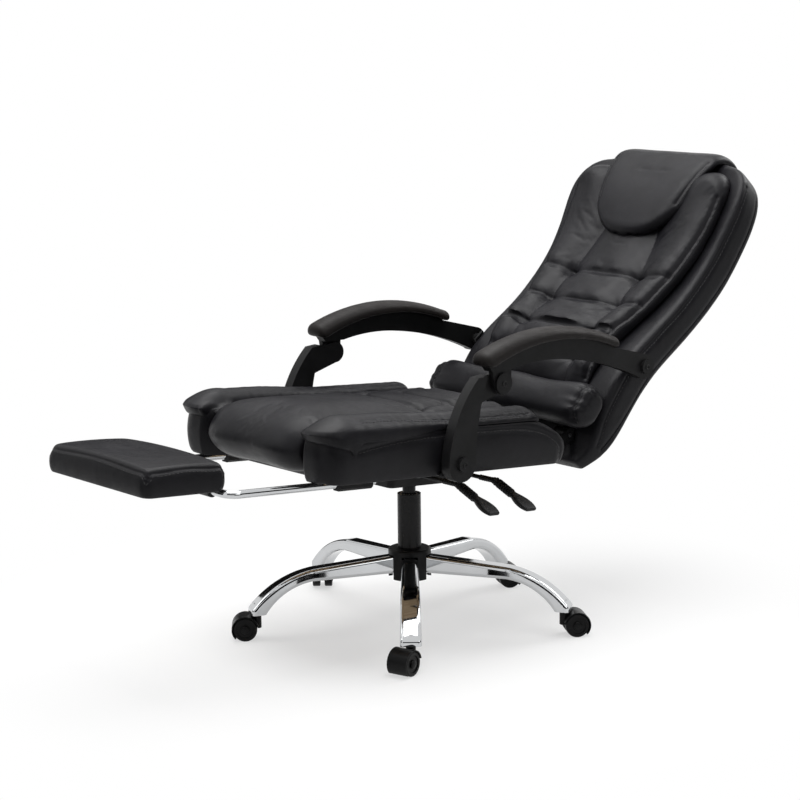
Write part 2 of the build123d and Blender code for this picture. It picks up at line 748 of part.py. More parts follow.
with BuildPart() as footrest_pad:
    pad_heights = ((0.0, 4.0), (0.25, 0.5), (0.5, 0.0), (0.8, 2.5), (1.0, 9.0))
    pad_slabs = []
    for share, inset in pad_heights:
        with BuildSketch(seat_plane.offset(foot_pad_z + share * foot_pad_t)) as slab:
            with Locations((0, (foot_front + foot_rear) / 2)):
                RectangleRounded(2 * (foot_half_w - inset), foot_rear - foot_front - 2 * inset, 16.0)
        pad_slabs.append(slab.sketch)
    loft(pad_slabs)

write(footrest_frame.part, "footrest_frame")
write(footrest_guides.part, "footrest_guides")
write(footrest_board.part, "footrest_board")
write(footrest_pad.part, "footrest_pad")

# Recline hinge: brackets under the seat, pins, and the back's steel frame
hinge_seat = on_seat(hinge)
with BuildPart() as hinge_brackets:
    for side in (-1, 1):
        middle = side * hinge_x
        with BuildSketch(seat_plane):
            with Locations((middle, (bracket_front + seat_rear) / 2)):
                Rectangle(hinge_lug_w + 2 * (side_gap + ear_t), seat_rear - bracket_front)
        extrude(amount=-bracket_t)
        for edge in (-1, 1):
            inner = middle + edge * (hinge_lug_w / 2 + side_gap)
            ear_plane = seat_side.offset(inner)
            ear = outline(
                ear_plane,
                ((bracket_front + 20.0, 0), (bracket_front + 20.0, -ear_r)),
                ((bracket_front + 20.0, -ear_r), (seat_rear, -ear_r)),
                ((seat_rear, -ear_r), (hinge_seat[0] + 0.6 * ear_r, hinge_seat[1] - 0.8 * ear_r)),
                (
                    (hinge_seat[0] + 0.6 * ear_r, hinge_seat[1] - 0.8 * ear_r),
                    (hinge_seat[0] + 0.8 * ear_r, hinge_seat[1] + 0.6 * ear_r),
                    (hinge_seat[0] - 0.6 * ear_r, hinge_seat[1] + 0.8 * ear_r),
                ),
                ((hinge_seat[0] - 0.6 * ear_r, hinge_seat[1] + 0.8 * ear_r), (seat_rear + 8.0, 0)),
                ((seat_rear + 8.0, 0), (bracket_front + 20.0, 0)),
            )
            extrude(ear, amount=edge * ear_t)
        bore = across(middle - hinge_lug_w, hinge_y, hinge_z)
        disc(bore, hinge_pin_r, 2 * hinge_lug_w, Mode.SUBTRACT)

with BuildPart() as hinge_pins:
    for side in (-1, 1):
        reach = hinge_lug_w / 2 + side_gap + ear_t
        start = across(side * hinge_x - reach, hinge_y, hinge_z)
        disc(start, hinge_pin_r, 2 * reach)
        disc(start, hinge_head_r, -hinge_head_t)

write(hinge_brackets.part, "hinge_brackets")
write(hinge_pins.part, "hinge_pins")

bar_dir = (back_up_dir * frame_bar_s + back_front_dir * frame_bar_n).normalized()
bar_front_dir = Vector(1, 0, 0).cross(bar_dir)
bar_length = hypot(frame_bar_s, frame_bar_n)
arm_ear_x = back_stations[3][2] - arm_ear_t - arm_ear_cover


def frame_bars(grow):
    """The steel bars of the back: two uprights, two cross bars and an ear for each arm bolt."""
    thick = frame_bar_t + 2 * grow
    for side in (-1, 1):
        upright = Plane(origin=hinge + Vector(side * hinge_x, 0, 0), x_dir=(1, 0, 0), z_dir=bar_dir)
        with BuildSketch(upright) as bar:
            Rectangle(frame_bar_w + 2 * grow, thick)
        extrude(bar.sketch, amount=bar_length + grow)
    ear_reach = (rear_bolt - hinge).dot(bar_dir)
    for reach, half in ((ear_reach, arm_ear_x + arm_ear_t), (bar_length - frame_cross_h, hinge_x)):
        middle = hinge + bar_dir * reach
        with BuildSketch(Plane(origin=middle, x_dir=(1, 0, 0), z_dir=bar_front_dir)) as bar:
            Rectangle(2 * (half + grow), frame_cross_h + 2 * grow)
        extrude(bar.sketch, amount=thick / 2, both=True)
    ear_depth = (rear_bolt - hinge).dot(bar_front_dir)
    for side in (-1, 1):
        start = hinge + bar_dir * ear_reach + Vector(side * (arm_ear_x - grow), 0, 0)
        with BuildSketch(Plane(origin=start, x_dir=bar_dir, z_dir=(side, 0, 0))) as ear:
            with Locations((0, side * (ear_depth + arm_ear_half) / 2)):
                Rectangle(2 * (arm_ear_half + grow) - 6.0, ear_depth + arm_ear_half - 6.0 + 2 * grow)
        extrude(ear.sketch, amount=arm_ear_t + 2 * grow)


with BuildPart() as frame_pocket:
    frame_bars(seat_gap)

with BuildPart() as back_frame:
    frame_bars(0)
    for side in (-1, 1):
        lug = across(side * hinge_x - hinge_lug_w / 2, hinge_y, hinge_z)
        disc(lug, hinge_lug_r, hinge_lug_w)
        disc(lug, hinge_pin_r + running_gap, hinge_lug_w, Mode.SUBTRACT)
        disc(across(side * arm_ear_x, rear_bolt.Y, rear_bolt.Z), arm_bolt_r, side * arm_ear_t, Mode.SUBTRACT)
write(back_frame.part, "back_frame")

# Back: padded shell, tufted cushion, lumbar bolster and a headrest draped over the top
shell_sections = []
for reach, depth, half, thick in back_stations:
    middle = hinge + back_up_dir * reach + back_front_dir * depth
    with BuildSketch(Plane(origin=middle, x_dir=(1, 0, 0), z_dir=back_up_dir)) as section:
        RectangleRounded(2 * half, thick, back_edge_share * thick)
    shell_sections.append(section.sketch)

with BuildPart() as shell_form:
    loft(shell_sections)

with BuildPart() as back_shell:
    add(shell_form.part)
    add(frame_pocket.part, mode=Mode.SUBTRACT)
    for side in (-1, 1):
        reach = hinge_lug_w / 2 + 2 * side_gap + ear_t + hinge_head_t
        disc(across(side * hinge_x - reach, hinge_y, hinge_z), ear_r + 3.0, 2 * reach, Mode.SUBTRACT)
        hole = across(side * arm_ear_x, rear_bolt.Y, rear_bolt.Z)
        disc(hole, arm_bolt_r + seat_gap, side * 2 * arm_ear_t, Mode.SUBTRACT)
write(back_shell.part, "back_shell")


def front_at(reach, rise):
    """A side-view point at a reach up the back, a rise above the front of the shell."""
    for below, above in zip(back_stations, back_stations[1:]):
        if reach <= above[0]:
            break
    share = (reach - below[0]) / (above[0] - below[0])
    faces = [station[1] + station[3] / 2 for station in (below, above)]
    return reach, faces[0] + share * (faces[1] - faces[0]) + rise


def cushion_section(x, rise, top):
    """A side-view section of the back cushion up to a top, swelling by a rise above the shell."""
    low = front_at(cushion_low_s, 0.35 * rise)
    belly = front_at(0.5 * (cushion_low_s + cushion_waist_s), rise)
    waist = front_at(cushion_waist_s, rise)
    chest = front_at(0.5 * (cushion_waist_s + top), rise)
    brow = front_at(top - cushion_rise, rise)
    crown = front_at(top - 0.2 * cushion_rise, 0.55 * rise)
    end = front_at(top, -0.2 * cushion_rise)
    sunk_low = front_at(cushion_low_s, -0.4 * cushion_rise)
    sunk = [front_at(station[0], -0.4 * cushion_rise) for station in reversed(back_stations[3:8])]
    edges = zip([end] + sunk, sunk + [sunk_low])
    return outline(
        back_side.offset(x),
        (sunk_low, low),
        (low, belly, waist),
        (waist, chest, brow),
        (brow, crown, end),
        *edges,
    )


column_middle = (cushion_columns + cushion_half_w) / 2
cushion_edges = (
    (cushion_half_w, 0.4, cushion_corner_drop),
    (0.25 * column_middle + 0.75 * cushion_half_w, 0.8, 0.5 * cushion_corner_drop),
    (column_middle, 1.0, 0.2 * cushion_corner_drop),
    (cushion_columns, 0.78, 0.05 * cushion_corner_drop),
    (0.5 * cushion_columns, 0.98, 0.0),
)
with BuildPart() as back_cushion:
    far_half = [(-x, share, drop) for x, share, drop in cushion_edges]
    near_half = [(x, share, drop) for x, share, drop in reversed(cushion_edges)]
    loft(
        [
            cushion_section(x, share * cushion_rise, cushion_top_s - drop)
            for x, share, drop in far_half + [(0.0, 1.0, 0.0)] + near_half
        ]
    )
    for row in cushion_rows:
        crest = front_at(row, cushion_rise)[1]
        middle = hinge + back_up_dir * row + back_front_dir * (crest + row_groove_r - row_groove_depth)
        groove = across(-cushion_half_w, middle.Y, middle.Z)
        disc(groove, row_groove_r, 2 * cushion_half_w, Mode.SUBTRACT)
    add(shell_form.part.moved(Location(back_front_dir * seat_gap)), mode=Mode.SUBTRACT)
write(back_cushion.part, "back_cushion")

bolster_shares = ((-1.0, 0.5), (-0.96, 0.8), (-0.8, 1.0), (0.0, 1.0), (0.8, 1.0), (0.96, 0.8), (1.0, 0.5))
with BuildPart() as bolster:
    bolster_sections = []
    for x, share in bolster_shares:
        middle = hinge + back_up_dir * bolster_s + back_front_dir * bolster_n
        middle = middle + Vector(x * bolster_half_w, 0, 0)
        with BuildSketch(Plane(origin=middle, x_dir=back_up_dir, z_dir=(1, 0, 0))) as section:
            half_s = share * bolster_half_s
            half_n = share * bolster_half_n
            RectangleRounded(2 * half_s, 2 * half_n, 0.9 * half_n)
        bolster_sections.append(section.sketch)
    loft(bolster_sections)
    add(shell_form.part.moved(Location(back_front_dir * seat_gap)), mode=Mode.SUBTRACT)
write(bolster.part, "bolster")

back_top_s, back_top_n = back_stations[-1][0], back_stations[-1][1]
head_lie = front_at(head_low_s, 0.9 * cushion_rise)[1]
head_swell = (
    (0.0, 0.0), (0.0, 0.8), (-0.2, 1.15), (0.2, 1.15), (0.75, 0.7), (1.0, 0.0), (0.55, -0.45), (0.35, -0.55),
)


def head_section(x, share, low):
    """A side-view section of the headrest from a low end, hooked over the top of the back."""
    heel = low + 1.4 * head_t
    nape = back_top_s - head_t
    inner = (
        (low, head_lie),
        (low + 0.3 * head_t, head_lie),
        (heel, head_lie),
        (0.5 * (heel + nape), head_lie + 0.2 * head_t),
        (nape, head_lie),
        (back_top_s + 0.12 * head_t, back_top_n + 0.85 * head_t),
        (back_top_s + 0.05 * head_t, back_top_n - 0.9 * head_t),
        (back_top_s - 1.1 * head_t, back_top_n - 1.9 * head_t),
    )
    outer = []
    for inner_point, swell in zip(inner, head_swell):
        step_s = share * head_t * swell[0]
        step_n = share * head_t * swell[1]
        outer.append((inner_point[0] + step_s, inner_point[1] + step_n))
    return outline(
        back_side.offset(x),
        (outer[0], outer[1], outer[2]),
        (outer[2], outer[3], outer[4]),
        (outer[4], outer[5], outer[6]),
        (outer[6], outer[7]),
        (outer[7], inner[7]),
        (inner[7], inner[6]),
        (inner[6], inner[5], inner[4]),
        (inner[4], inner[3], inner[2]),
        (inner[2], inner[0]),
    )


with BuildPart() as headrest:
    head_edges = ((1.0, 0.5, 1.0), (0.9, 0.9, 0.66), (0.5, 1.0, 0.12))
    far_side = [(-x, share, lift) for x, share, lift in head_edges]
    near_side = [(x, share, lift) for x, share, lift in reversed(head_edges)]
    loft(
        [
            head_section(x * head_half_w, share, head_low_s + lift * head_corner_rise)
            for x, share, lift in far_side + [(0.0, 1.0, 0.0)] + near_side
        ]
    )
    add(back_cushion.part.moved(Location(back_front_dir * seat_gap)), mode=Mode.SUBTRACT)
    for way in (back_front_dir, back_front_dir * -1, back_up_dir):
        add(shell_form.part.moved(Location(way * seat_gap)), mode=Mode.SUBTRACT)
write(headrest.part, "headrest")

# Arms: post and armrest on each side, pivoting at the seat, the elbow and the back
post_seat = on_seat(post_foot)
with BuildPart() as arm_brackets:
    for side in (-1, 1):
        tab_outer = arm_inner_x - tab_t / 2
        strap_middle = side * (strap_x + tab_outer) / 2
        with BuildSketch(seat_plane):
            with Locations((strap_middle, post_seat[0])):
                Rectangle(tab_outer - strap_x, 2 * tab_half_w)
                with Locations((side * strap_bolt_x - strap_middle, 0)):
                    with GridLocations(0, tab_half_w, 1, 2):
                        Circle(bolt_r, mode=Mode.SUBTRACT)
        extrude(amount=-bracket_t)
        with BuildSketch(seat_plane.offset(-bracket_t)):
            with Locations((side * (tab_outer - tab_t / 2), post_seat[0])):
                Rectangle(tab_t, 2 * tab_half_w)
        extrude(amount=tab_top)
        hole = across(side * (tab_outer - tab_t), post_y, post_z)
        disc(hole, arm_bolt_r, side * tab_t, Mode.SUBTRACT)

with BuildPart() as post_bolts:
    for side in (-1, 1):
        tab_inner = arm_inner_x - 1.5 * tab_t
        start = across(side * tab_inner, post_y, post_z)
        disc(start, arm_bolt_r, side * (arm_outer_x - tab_inner + seat_gap))
        washer = across(side * (arm_inner_x - tab_t / 2), post_y, post_z)
        disc(washer, arm_washer_r, side * (tab_t / 2 - seat_gap))
        disc(across(side * (arm_outer_x + seat_gap), post_y, post_z), arm_head_r, side * arm_head_t)

with BuildPart() as arm_rear_bolts:
    for side in (-1, 1):
        start = across(side * arm_ear_x, rear_bolt.Y, rear_bolt.Z)
        disc(start, arm_bolt_r, side * (arm_outer_x - arm_ear_x + seat_gap))
        collar = back_stations[3][2] + 2 * seat_gap
        washer = across(side * collar, rear_bolt.Y, rear_bolt.Z)
        disc(washer, arm_washer_r, side * (arm_inner_x - collar - seat_gap))
        head = across(side * (arm_outer_x + seat_gap), rear_bolt.Y, rear_bolt.Z)
        disc(head, arm_head_r, side * arm_head_t)

write(arm_brackets.part, "arm_brackets")
write(post_bolts.part, "post_bolts")
write(arm_rear_bolts.part, "arm_rear_bolts")

# Side-view points of the armrest, from the elbow and the rear bolt
rest_front = (elbow.Y - 36.0, elbow.Z + 37.0)
rest_top = (0.6 * elbow.Y + 0.4 * rear_bolt.Y - 80.0, elbow.Z + 69.0)
rest_rear = (rear_bolt.Y - 100.0, rear_bolt.Z + 54.0)
arch_rear = (rear_bolt.Y - 18.0, rear_bolt.Z - 20.0)
arch_low = (rear_bolt.Y - 130.0, rear_bolt.Z + 22.0)
arch_middle = (rear_bolt.Y - 243.0, elbow.Z + 28.0)
arch_top = (elbow.Y + 98.0, elbow.Z + 33.0)
arch_front = (elbow.Y + elbow_r, elbow.Z + elbow_r + 2.0)
neck_front = (elbow.Y - 28.0, elbow.Z + elbow_r + 3.0)


def arm_pad_section(x, share):
    """A side-view section of the arm pad, resting along the armrest and swelling by a share."""
    low = [(point[0], point[1] + seat_gap) for point in (rest_front, rest_top, rest_rear)]
    rise = share * arm_pad_t
    nose = (rest_front[0] - 0.7 * rise, rest_front[1] + 0.55 * rise)
    brow = (rest_front[0] - 0.3 * rise, rest_front[1] + 1.15 * rise)
    return outline(
        across(x, 0, 0),
        (low[0], low[1], low[2]),
        (
            low[2],
            (low[2][0] + 0.4 * rise, low[2][1] + 0.5 * rise),
            (low[2][0] - 0.1 * rise, low[2][1] + 0.9 * rise),
        ),
        ((low[2][0] - 0.1 * rise, low[2][1] + 0.9 * rise), (low[1][0], low[1][1] + rise), brow),
        (brow, nose, low[0]),
    )


for side, hand in ((1, "left"), (-1, "right")):
    inner = across(side * arm_inner_x, 0, 0)
    middle = across(side * (arm_x + running_gap), 0, 0)
    half_layer = side * (arm_t / 2 - running_gap)

    with BuildPart() as arm_post:
        blade = outline(
            inner,
            (
                (post_y - post_foot_r, post_z),
                (post_y - 14.0, post_z + 88.0),
                (elbow.Y - 66.0, elbow.Z + 18.0),
            ),
            ((elbow.Y - 66.0, elbow.Z + 18.0), (elbow.Y - 40.0, elbow.Z + 20.0)),
            (
                (elbow.Y - 40.0, elbow.Z + 20.0),
                (post_y + 46.0, post_z + 92.0),
                (post_y + post_foot_r, post_z),
            ),
            ((post_y + post_foot_r, post_z), (post_y, post_z - post_foot_r), (post_y - post_foot_r, post_z)),
        )
        extrude(blade, amount=side * arm_t)
        with BuildSketch(inner):
            with Locations((elbow.Y, elbow.Z)):
                Circle(elbow_eye_r)
            with BuildLine():
                Polyline(
                    (elbow.Y - 62.0, elbow.Z + 16.0),
                    (elbow.Y, elbow.Z + elbow_eye_r),
                    (elbow.Y, elbow.Z - elbow_eye_r),
                    (elbow.Y - 72.0, elbow.Z - 42.0),
                    close=True,
                )
            make_face()
        extrude(amount=half_layer)
        elbow_hole = across(side * arm_inner_x, elbow.Y, elbow.Z)
        disc(elbow_hole, arm_bolt_r + running_gap, half_layer, Mode.SUBTRACT)
        foot_hole = across(side * arm_inner_x, post_y, post_z)
        disc(foot_hole, arm_bolt_r + running_gap, side * arm_t, Mode.SUBTRACT)

    with BuildPart() as arm_frame:
        beam = outline(
            inner,
            (rest_front, rest_top, rest_rear),
            (rest_rear, (rear_bolt.Y + 8.0, rear_bolt.Z + 0.96 * rear_boss_r)),
            ((rear_bolt.Y + 8.0, rear_bolt.Z + 0.96 * rear_boss_r), arch_rear),
            (arch_rear, arch_low, arch_middle),
            (arch_middle, arch_top, arch_front),
            (arch_front, neck_front),
            (neck_front, rest_front),
        )
        extrude(beam, amount=side * arm_t)
        disc(across(side * arm_inner_x, rear_bolt.Y, rear_bolt.Z), rear_boss_r, side * arm_t)
        disc(across(side * (arm_x + running_gap), elbow.Y, elbow.Z), elbow_r, half_layer)
        with BuildSketch(middle):
            with BuildLine():
                Polyline(
                    neck_front,
                    arch_front,
                    (elbow.Y + elbow_r, elbow.Z),
                    (elbow.Y - elbow_r, elbow.Z),
                    close=True,
                )
            make_face()
        extrude(amount=half_layer)
        disc(across(side * arm_x, elbow.Y, elbow.Z), arm_bolt_r, side * arm_t, Mode.SUBTRACT)
        rear_hole = across(side * arm_inner_x, rear_bolt.Y, rear_bolt.Z)
        disc(rear_hole, arm_bolt_r + side_gap, side * arm_t, Mode.SUBTRACT)

    with BuildPart() as arm_pad:
        pad_shares = ((-1.0, 0.45), (-0.7, 0.9), (0.0, 1.06), (0.7, 0.9), (1.0, 0.45))
        loft([arm_pad_section(side * arm_x + x * arm_pad_half_w, share) for x, share in pad_shares])

    with BuildPart() as elbow_bolt:
        disc(across(side * arm_inner_x, elbow.Y, elbow.Z), arm_bolt_r, side * arm_t)
        disc(across(side * arm_outer_x, elbow.Y, elbow.Z), elbow_r - 2.0, side * elbow_cap_t)

    write(arm_post.part, f"arm_post_{hand}")
    write(arm_frame.part, f"arm_frame_{hand}")
    write(arm_pad.part, f"arm_pad_{hand}")
    write(elbow_bolt.part, f"elbow_bolt_{hand}")
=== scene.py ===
"""Looks of a reclining office chair with a slide-out footrest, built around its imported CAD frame."""

import json
import logging
import math
from dataclasses import dataclass, field
from enum import Enum
from typing import Sequence

import bmesh
import bpy
import numpy as np
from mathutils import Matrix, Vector
from mathutils.bvhtree import BVHTree
from mathutils.kdtree import KDTree


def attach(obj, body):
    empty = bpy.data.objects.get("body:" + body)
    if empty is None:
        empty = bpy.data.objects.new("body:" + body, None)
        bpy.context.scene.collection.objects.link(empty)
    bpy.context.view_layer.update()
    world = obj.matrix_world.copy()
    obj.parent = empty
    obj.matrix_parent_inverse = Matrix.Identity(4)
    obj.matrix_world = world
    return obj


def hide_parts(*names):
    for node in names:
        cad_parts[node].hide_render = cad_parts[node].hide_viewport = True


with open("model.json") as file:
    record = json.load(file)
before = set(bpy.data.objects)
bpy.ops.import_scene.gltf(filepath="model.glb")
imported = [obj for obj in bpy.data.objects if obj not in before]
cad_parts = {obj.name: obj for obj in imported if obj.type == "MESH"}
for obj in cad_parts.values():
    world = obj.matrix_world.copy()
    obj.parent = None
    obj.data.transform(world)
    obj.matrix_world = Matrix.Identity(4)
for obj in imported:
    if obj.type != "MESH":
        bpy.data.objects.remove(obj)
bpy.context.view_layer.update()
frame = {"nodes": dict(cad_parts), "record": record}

LOG = logging.getLogger("office_chair")
Point = tuple[float, float, float]
Colour = tuple[float, float, float]
Span = tuple[float, float]
Run, Spans = tuple[float, ...], tuple[Span, ...]
Rows = np.ndarray
Ring = tuple[Rows, Rows, Rows, float]
Mesh, Thing, Socket = bpy.types.Mesh, bpy.types.Object, bpy.types.NodeSocket


class Facing(Enum):
    """The side of a cushion that a seam is laid on, in the cushion's own frame."""

    OUT = (0.0, 0.0, 1.0)
    LEFT = (1.0, 0.0, 0.0)
    RIGHT = (-1.0, 0.0, 0.0)


class Sewing(Enum):
    """How a seam is finished."""

    PLAIN = 0
    STITCHED = 1
    PIPED = 2


@dataclass(frozen=True)
class Place:
    """A tilted frame of the chair: across, along and out of a cushion."""

    origin: Point
    tilt: float
    upright: bool

    def axes(self) -> Rows:
        """The across, along and out directions as rows."""
        c, s = math.cos(math.radians(self.tilt)), math.sin(math.radians(self.tilt))
        if self.upright:
            return np.array([(1.0, 0.0, 0.0), (0.0, s, c), (0.0, -c, s)])
        return np.array([(1.0, 0.0, 0.0), (0.0, c, -s), (0.0, s, c)])

    def local(self, points: Rows) -> Rows:
        """Row-frame points in this frame."""
        return (points - np.array(self.origin)) @ self.axes().T

    def world(self, points: Rows) -> Rows:
        """Points of this frame in the row frame."""
        return points @ self.axes() + np.array(self.origin)


@dataclass(frozen=True)
class Curl:
    """How far the rims of the back curl forward, by reach up the back."""

    reach: Run = (0.07, 0.185, 0.28, 0.38, 0.49, 0.57, 0.64, 0.70, 0.75)
    rise: Run = (0.0, 0.003, 0.010, 0.015, 0.019, 0.024, 0.028, 0.026, 0.014)
    half: Run = (0.238, 0.242, 0.245, 0.248, 0.252, 0.258, 0.262, 0.244, 0.156)

    def at(self, points: Rows) -> Rows:
        """The forward curl at points of the back's frame."""
        rise = np.interp(points[:, 1], self.reach, self.rise)
        return rise * (points[:, 0] / np.interp(points[:, 1], self.reach, self.half)) ** 2


CURL = Curl()
SEAT_PLACE = Place((0.0, 0.0, 0.376), 4.5, False)
BACK_PLACE = Place((0.0, 0.320, 0.387), 41.0, True)
FLOOR_PLACE = Place((0.0, 0.0, 0.0), 0.0, False)
BODY_OF = {node: body for body, nodes in frame["record"]["behaviour"]["bodies"].items() for node in nodes}
FLANKS = ((Facing.LEFT, 1.0), (Facing.RIGHT, -1.0))
HANDS = (("left", 1.0), ("right", -1.0))
SIGNS = (1.0, -1.0)
OVER = 0.1


@dataclass(frozen=True)
class Noise:
    """A noise in a piece's own space: cells in a metre, octaves, and the scale of each axis before it."""

    scale: float
    detail: float
    stretch: Point | None = None


@dataclass(frozen=True)
class Relief:
    """A bump that follows a noise, with its depth in metres."""

    noise: Noise
    strength: float
    depth: float


class Nodes:
    """A small writer of shader nodes for one material."""

    tones_at: Span = (0.32, 0.68)
    middle: Span = (0.3, 0.7)

    def __init__(self, name: str) -> None:
        """Start an empty node material with its output and shader."""
        self.material = bpy.data.materials.new(name)
        self.material.use_nodes = True
        self.tree = self.material.node_tree
        self.tree.nodes.clear()
        self.shader = self.add("ShaderNodeBsdfPrincipled")
        self.output = self.add("ShaderNodeOutputMaterial")
        self.join(self.shader.outputs["BSDF"], self.output.inputs["Surface"])
        self.coords = self.add("ShaderNodeTexCoord").outputs["Object"]

    def add(self, kind: str, **settings: object) -> bpy.types.Node:
        """Add a node.

        Args:
            kind: The node's type name.
            settings: Node properties, or input values under the input's name.

        Returns:
            The new node.
        """
        node = self.tree.nodes.new(kind)
        for key, value in settings.items():
            if key in node.inputs:
                node.inputs[key].default_value = value
            else:
                setattr(node, key, value)
        return node

    def join(self, source: Socket, target: Socket) -> None:
        """Link two sockets."""
        self.tree.links.new(source, target)

    def noise(self, noise: Noise) -> Socket:
        """Add a noise.

        Args:
            noise: The noise.

        Returns:
            Its factor socket.
        """
        node = self.add("ShaderNodeTexNoise", Scale=noise.scale, Detail=noise.detail)
        source = self.coords
        if noise.stretch:
            mapping = self.add("ShaderNodeMapping", Scale=noise.stretch)
            self.join(source, mapping.inputs["Vector"])
            source = mapping.outputs["Vector"]
        self.join(source, node.inputs["Vector"])
        return node.outputs["Fac"]

    def cells(self, scale: float) -> Socket:
        """Distance to the edges of pebble-like cells, for a leather grain."""
        node = self.add("ShaderNodeTexVoronoi", feature="DISTANCE_TO_EDGE", Scale=scale)
        self.join(self.coords, node.inputs["Vector"])
        return node.outputs["Distance"]

    def spread(self, value: Socket, low: float, high: float, at: Span) -> Socket:
        """Map a span of a value onto a range.

        Args:
            value: The socket to map.
            low: Result at the span's start.
            high: Result at the span's end.
            at: The span of the value.

        Returns:
            The mapped socket.
        """
        node = self.add("ShaderNodeMapRange")
        node.inputs["From Min"].default_value, node.inputs["From Max"].default_value = at
        node.inputs["To Min"].default_value, node.inputs["To Max"].default_value = low, high
        self.join(value, node.inputs["Value"])
        return node.outputs["Result"]

    def tint(self, value: Socket, dark: Colour, light: Colour) -> None:
        """Colour the shader between two tones by a value."""
        ramp = self.add("ShaderNodeValToRGB")
        for element, position, colour in zip(ramp.color_ramp.elements, self.tones_at, (dark, light)):
            element.position, element.color = position, (*colour, 1.0)
        self.join(value, ramp.inputs["Fac"])
        self.join(ramp.outputs["Color"], self.shader.inputs["Base Color"])

    def gloss(self, value: Socket, low: float, high: float) -> None:
        """Vary the shader's roughness between two values."""
        self.join(self.spread(value, low, high, self.middle), self.shader.inputs["Roughness"])

    def relief(self, *layers: tuple[Socket, float, float]) -> None:
        """Stack bump layers on the shader.

        Args:
            layers: Height socket, strength and depth in metres of each layer.
        """
        normal = None
        for height, strength, depth in layers:
            bump = self.add("ShaderNodeBump", Strength=strength, Distance=depth)
            self.join(height, bump.inputs["Height"])
            if normal:
                self.join(normal, bump.inputs["Normal"])
            normal = bump.outputs["Normal"]
        self.join(normal, self.shader.inputs["Normal"])

    def fixed(self, **values: object) -> None:
        """Set uniform values on the shader's own sockets, with spaces written as underscores."""
        for key, value in values.items():
            self.shader.inputs[key.replace("_", " ")].default_value = value


@dataclass(frozen=True)
class Finish:
    """A surface between two tones and two roughnesses, with a relief and, on leather, a pebbled grain."""

    name: str
    dark: Colour
    light: Colour
    shine: Span
    tone: Noise
    polish: Noise
    relief: Relief
    settings: tuple[tuple[str, float], ...] = ()
    pebbles: float = 0.0
    pebble_edge: Span = (0.0, 0.35)
    pebble_relief: Span = (0.3, 0.0003)

    def material(self) -> bpy.types.Material:
        """Make the material."""
        n = Nodes(self.name)
        n.tint(n.noise(self.tone), self.dark, self.light)
        n.gloss(n.noise(self.polish), *self.shine)
        layers = [(n.noise(self.relief.noise), self.relief.strength, self.relief.depth)]
        if self.pebbles:
            layers.append((n.spread(n.cells(self.pebbles), 0.0, 1.0, self.pebble_edge), *self.pebble_relief))
        n.relief(*layers)
        n.fixed(**dict(self.settings))
        return n.material


METAL = (("Metallic", 1.0),)
DULL = (("Specular_IOR_Level", 0.13),)
CHROME = (0.56, 0.57, 0.58)
STEEL = (0.55, 0.55, 0.56)


def shade(colour: Colour, part: float) -> Colour:
    """A darker tone of a colour."""
    return tuple(part * c for c in colour)


def leather(name: str, dark: Colour, light: Colour, shine: Span, pebbles: float) -> Finish:
    """Coated leather with a pebbled grain and a soft sheen."""
    folds = Relief(Noise(55.0, 6.0), strength=0.22, depth=0.0018)
    return Finish(name, dark, light, shine, Noise(9.0, 4.0), Noise(38.0, 5.0), folds, DULL, pebbles)


def moulded(name: str, dark: Colour, light: Colour, shine: Span, grain: float, depth: float) -> Finish:
    """Moulded plastic or powder coat with a fine even grain."""
    relief = Relief(Noise(grain, 2.0), strength=0.3, depth=depth)
    return Finish(name, dark, light, shine, Noise(22.0, 4.0), Noise(46.0, 4.0), relief, DULL)


def drawn(
    name: str, dark: Colour, light: Colour, shine: Span, relief: Relief, *settings: tuple[str, float]
) -> Finish:
    """A finish whose tone and roughness follow its relief: ground steel, plywood or thread."""
    return Finish(name, dark, light, shine, relief.noise, relief.noise, relief, settings)


FINISHES = {
    finish.name: finish
    for finish in (
        leather("black_leather", (0.0058, 0.0056, 0.0068), (0.0096, 0.0093, 0.0112), (0.32, 0.46), 620.0),
        leather("arm_pad_skin", (0.0085, 0.0072, 0.0068), (0.0135, 0.0115, 0.0108), (0.44, 0.58), 900.0),
        Finish(
            "chrome", shade(CHROME, 0.94), CHROME, (0.03, 0.09), Noise(14.0, 2.0), Noise(26.0, 6.0),
            Relief(Noise(30.0, 1.0), strength=0.05, depth=0.0004), METAL,
        ),
        moulded("black_steel", (0.006, 0.006, 0.0064), (0.010, 0.010, 0.0106), (0.34, 0.5), 900.0, 0.0003),
        moulded("column_black", (0.010, 0.010, 0.0104), (0.015, 0.015, 0.0156), (0.2, 0.32), 500.0, 0.0001),
        moulded(
            "black_plastic", (0.0065, 0.0065, 0.0068), (0.0105, 0.0105, 0.011), (0.36, 0.5), 1500.0, 0.0002
        ),
        moulded(
            "caster_nylon", (0.0035, 0.0035, 0.0037), (0.0065, 0.0065, 0.0068), (0.3, 0.46), 1100.0, 0.0002
        ),
        moulded("bush_plastic", (0.4, 0.4, 0.38), (0.5, 0.5, 0.48), (0.4, 0.55), 1200.0, 0.0002),
        drawn(
            "plain_steel", shade(STEEL, 0.8), STEEL, (0.24, 0.42),
            Relief(Noise(240.0, 3.0, (0.1, 1.0, 1.0)), strength=0.15, depth=0.0002), *METAL,
        ),
        drawn(
            "board_wood", (0.28, 0.18, 0.1), (0.46, 0.34, 0.21), (0.55, 0.75),
            Relief(Noise(90.0, 5.0, (1.0, 0.06, 1.0)), strength=0.2, depth=0.0004),
        ),
        drawn(
            "seam_thread", (0.012, 0.012, 0.013), (0.024, 0.024, 0.025), (0.55, 0.8),
            Relief(Noise(1400.0, 2.0), strength=0.4, depth=0.0003),
        ),
    )
}


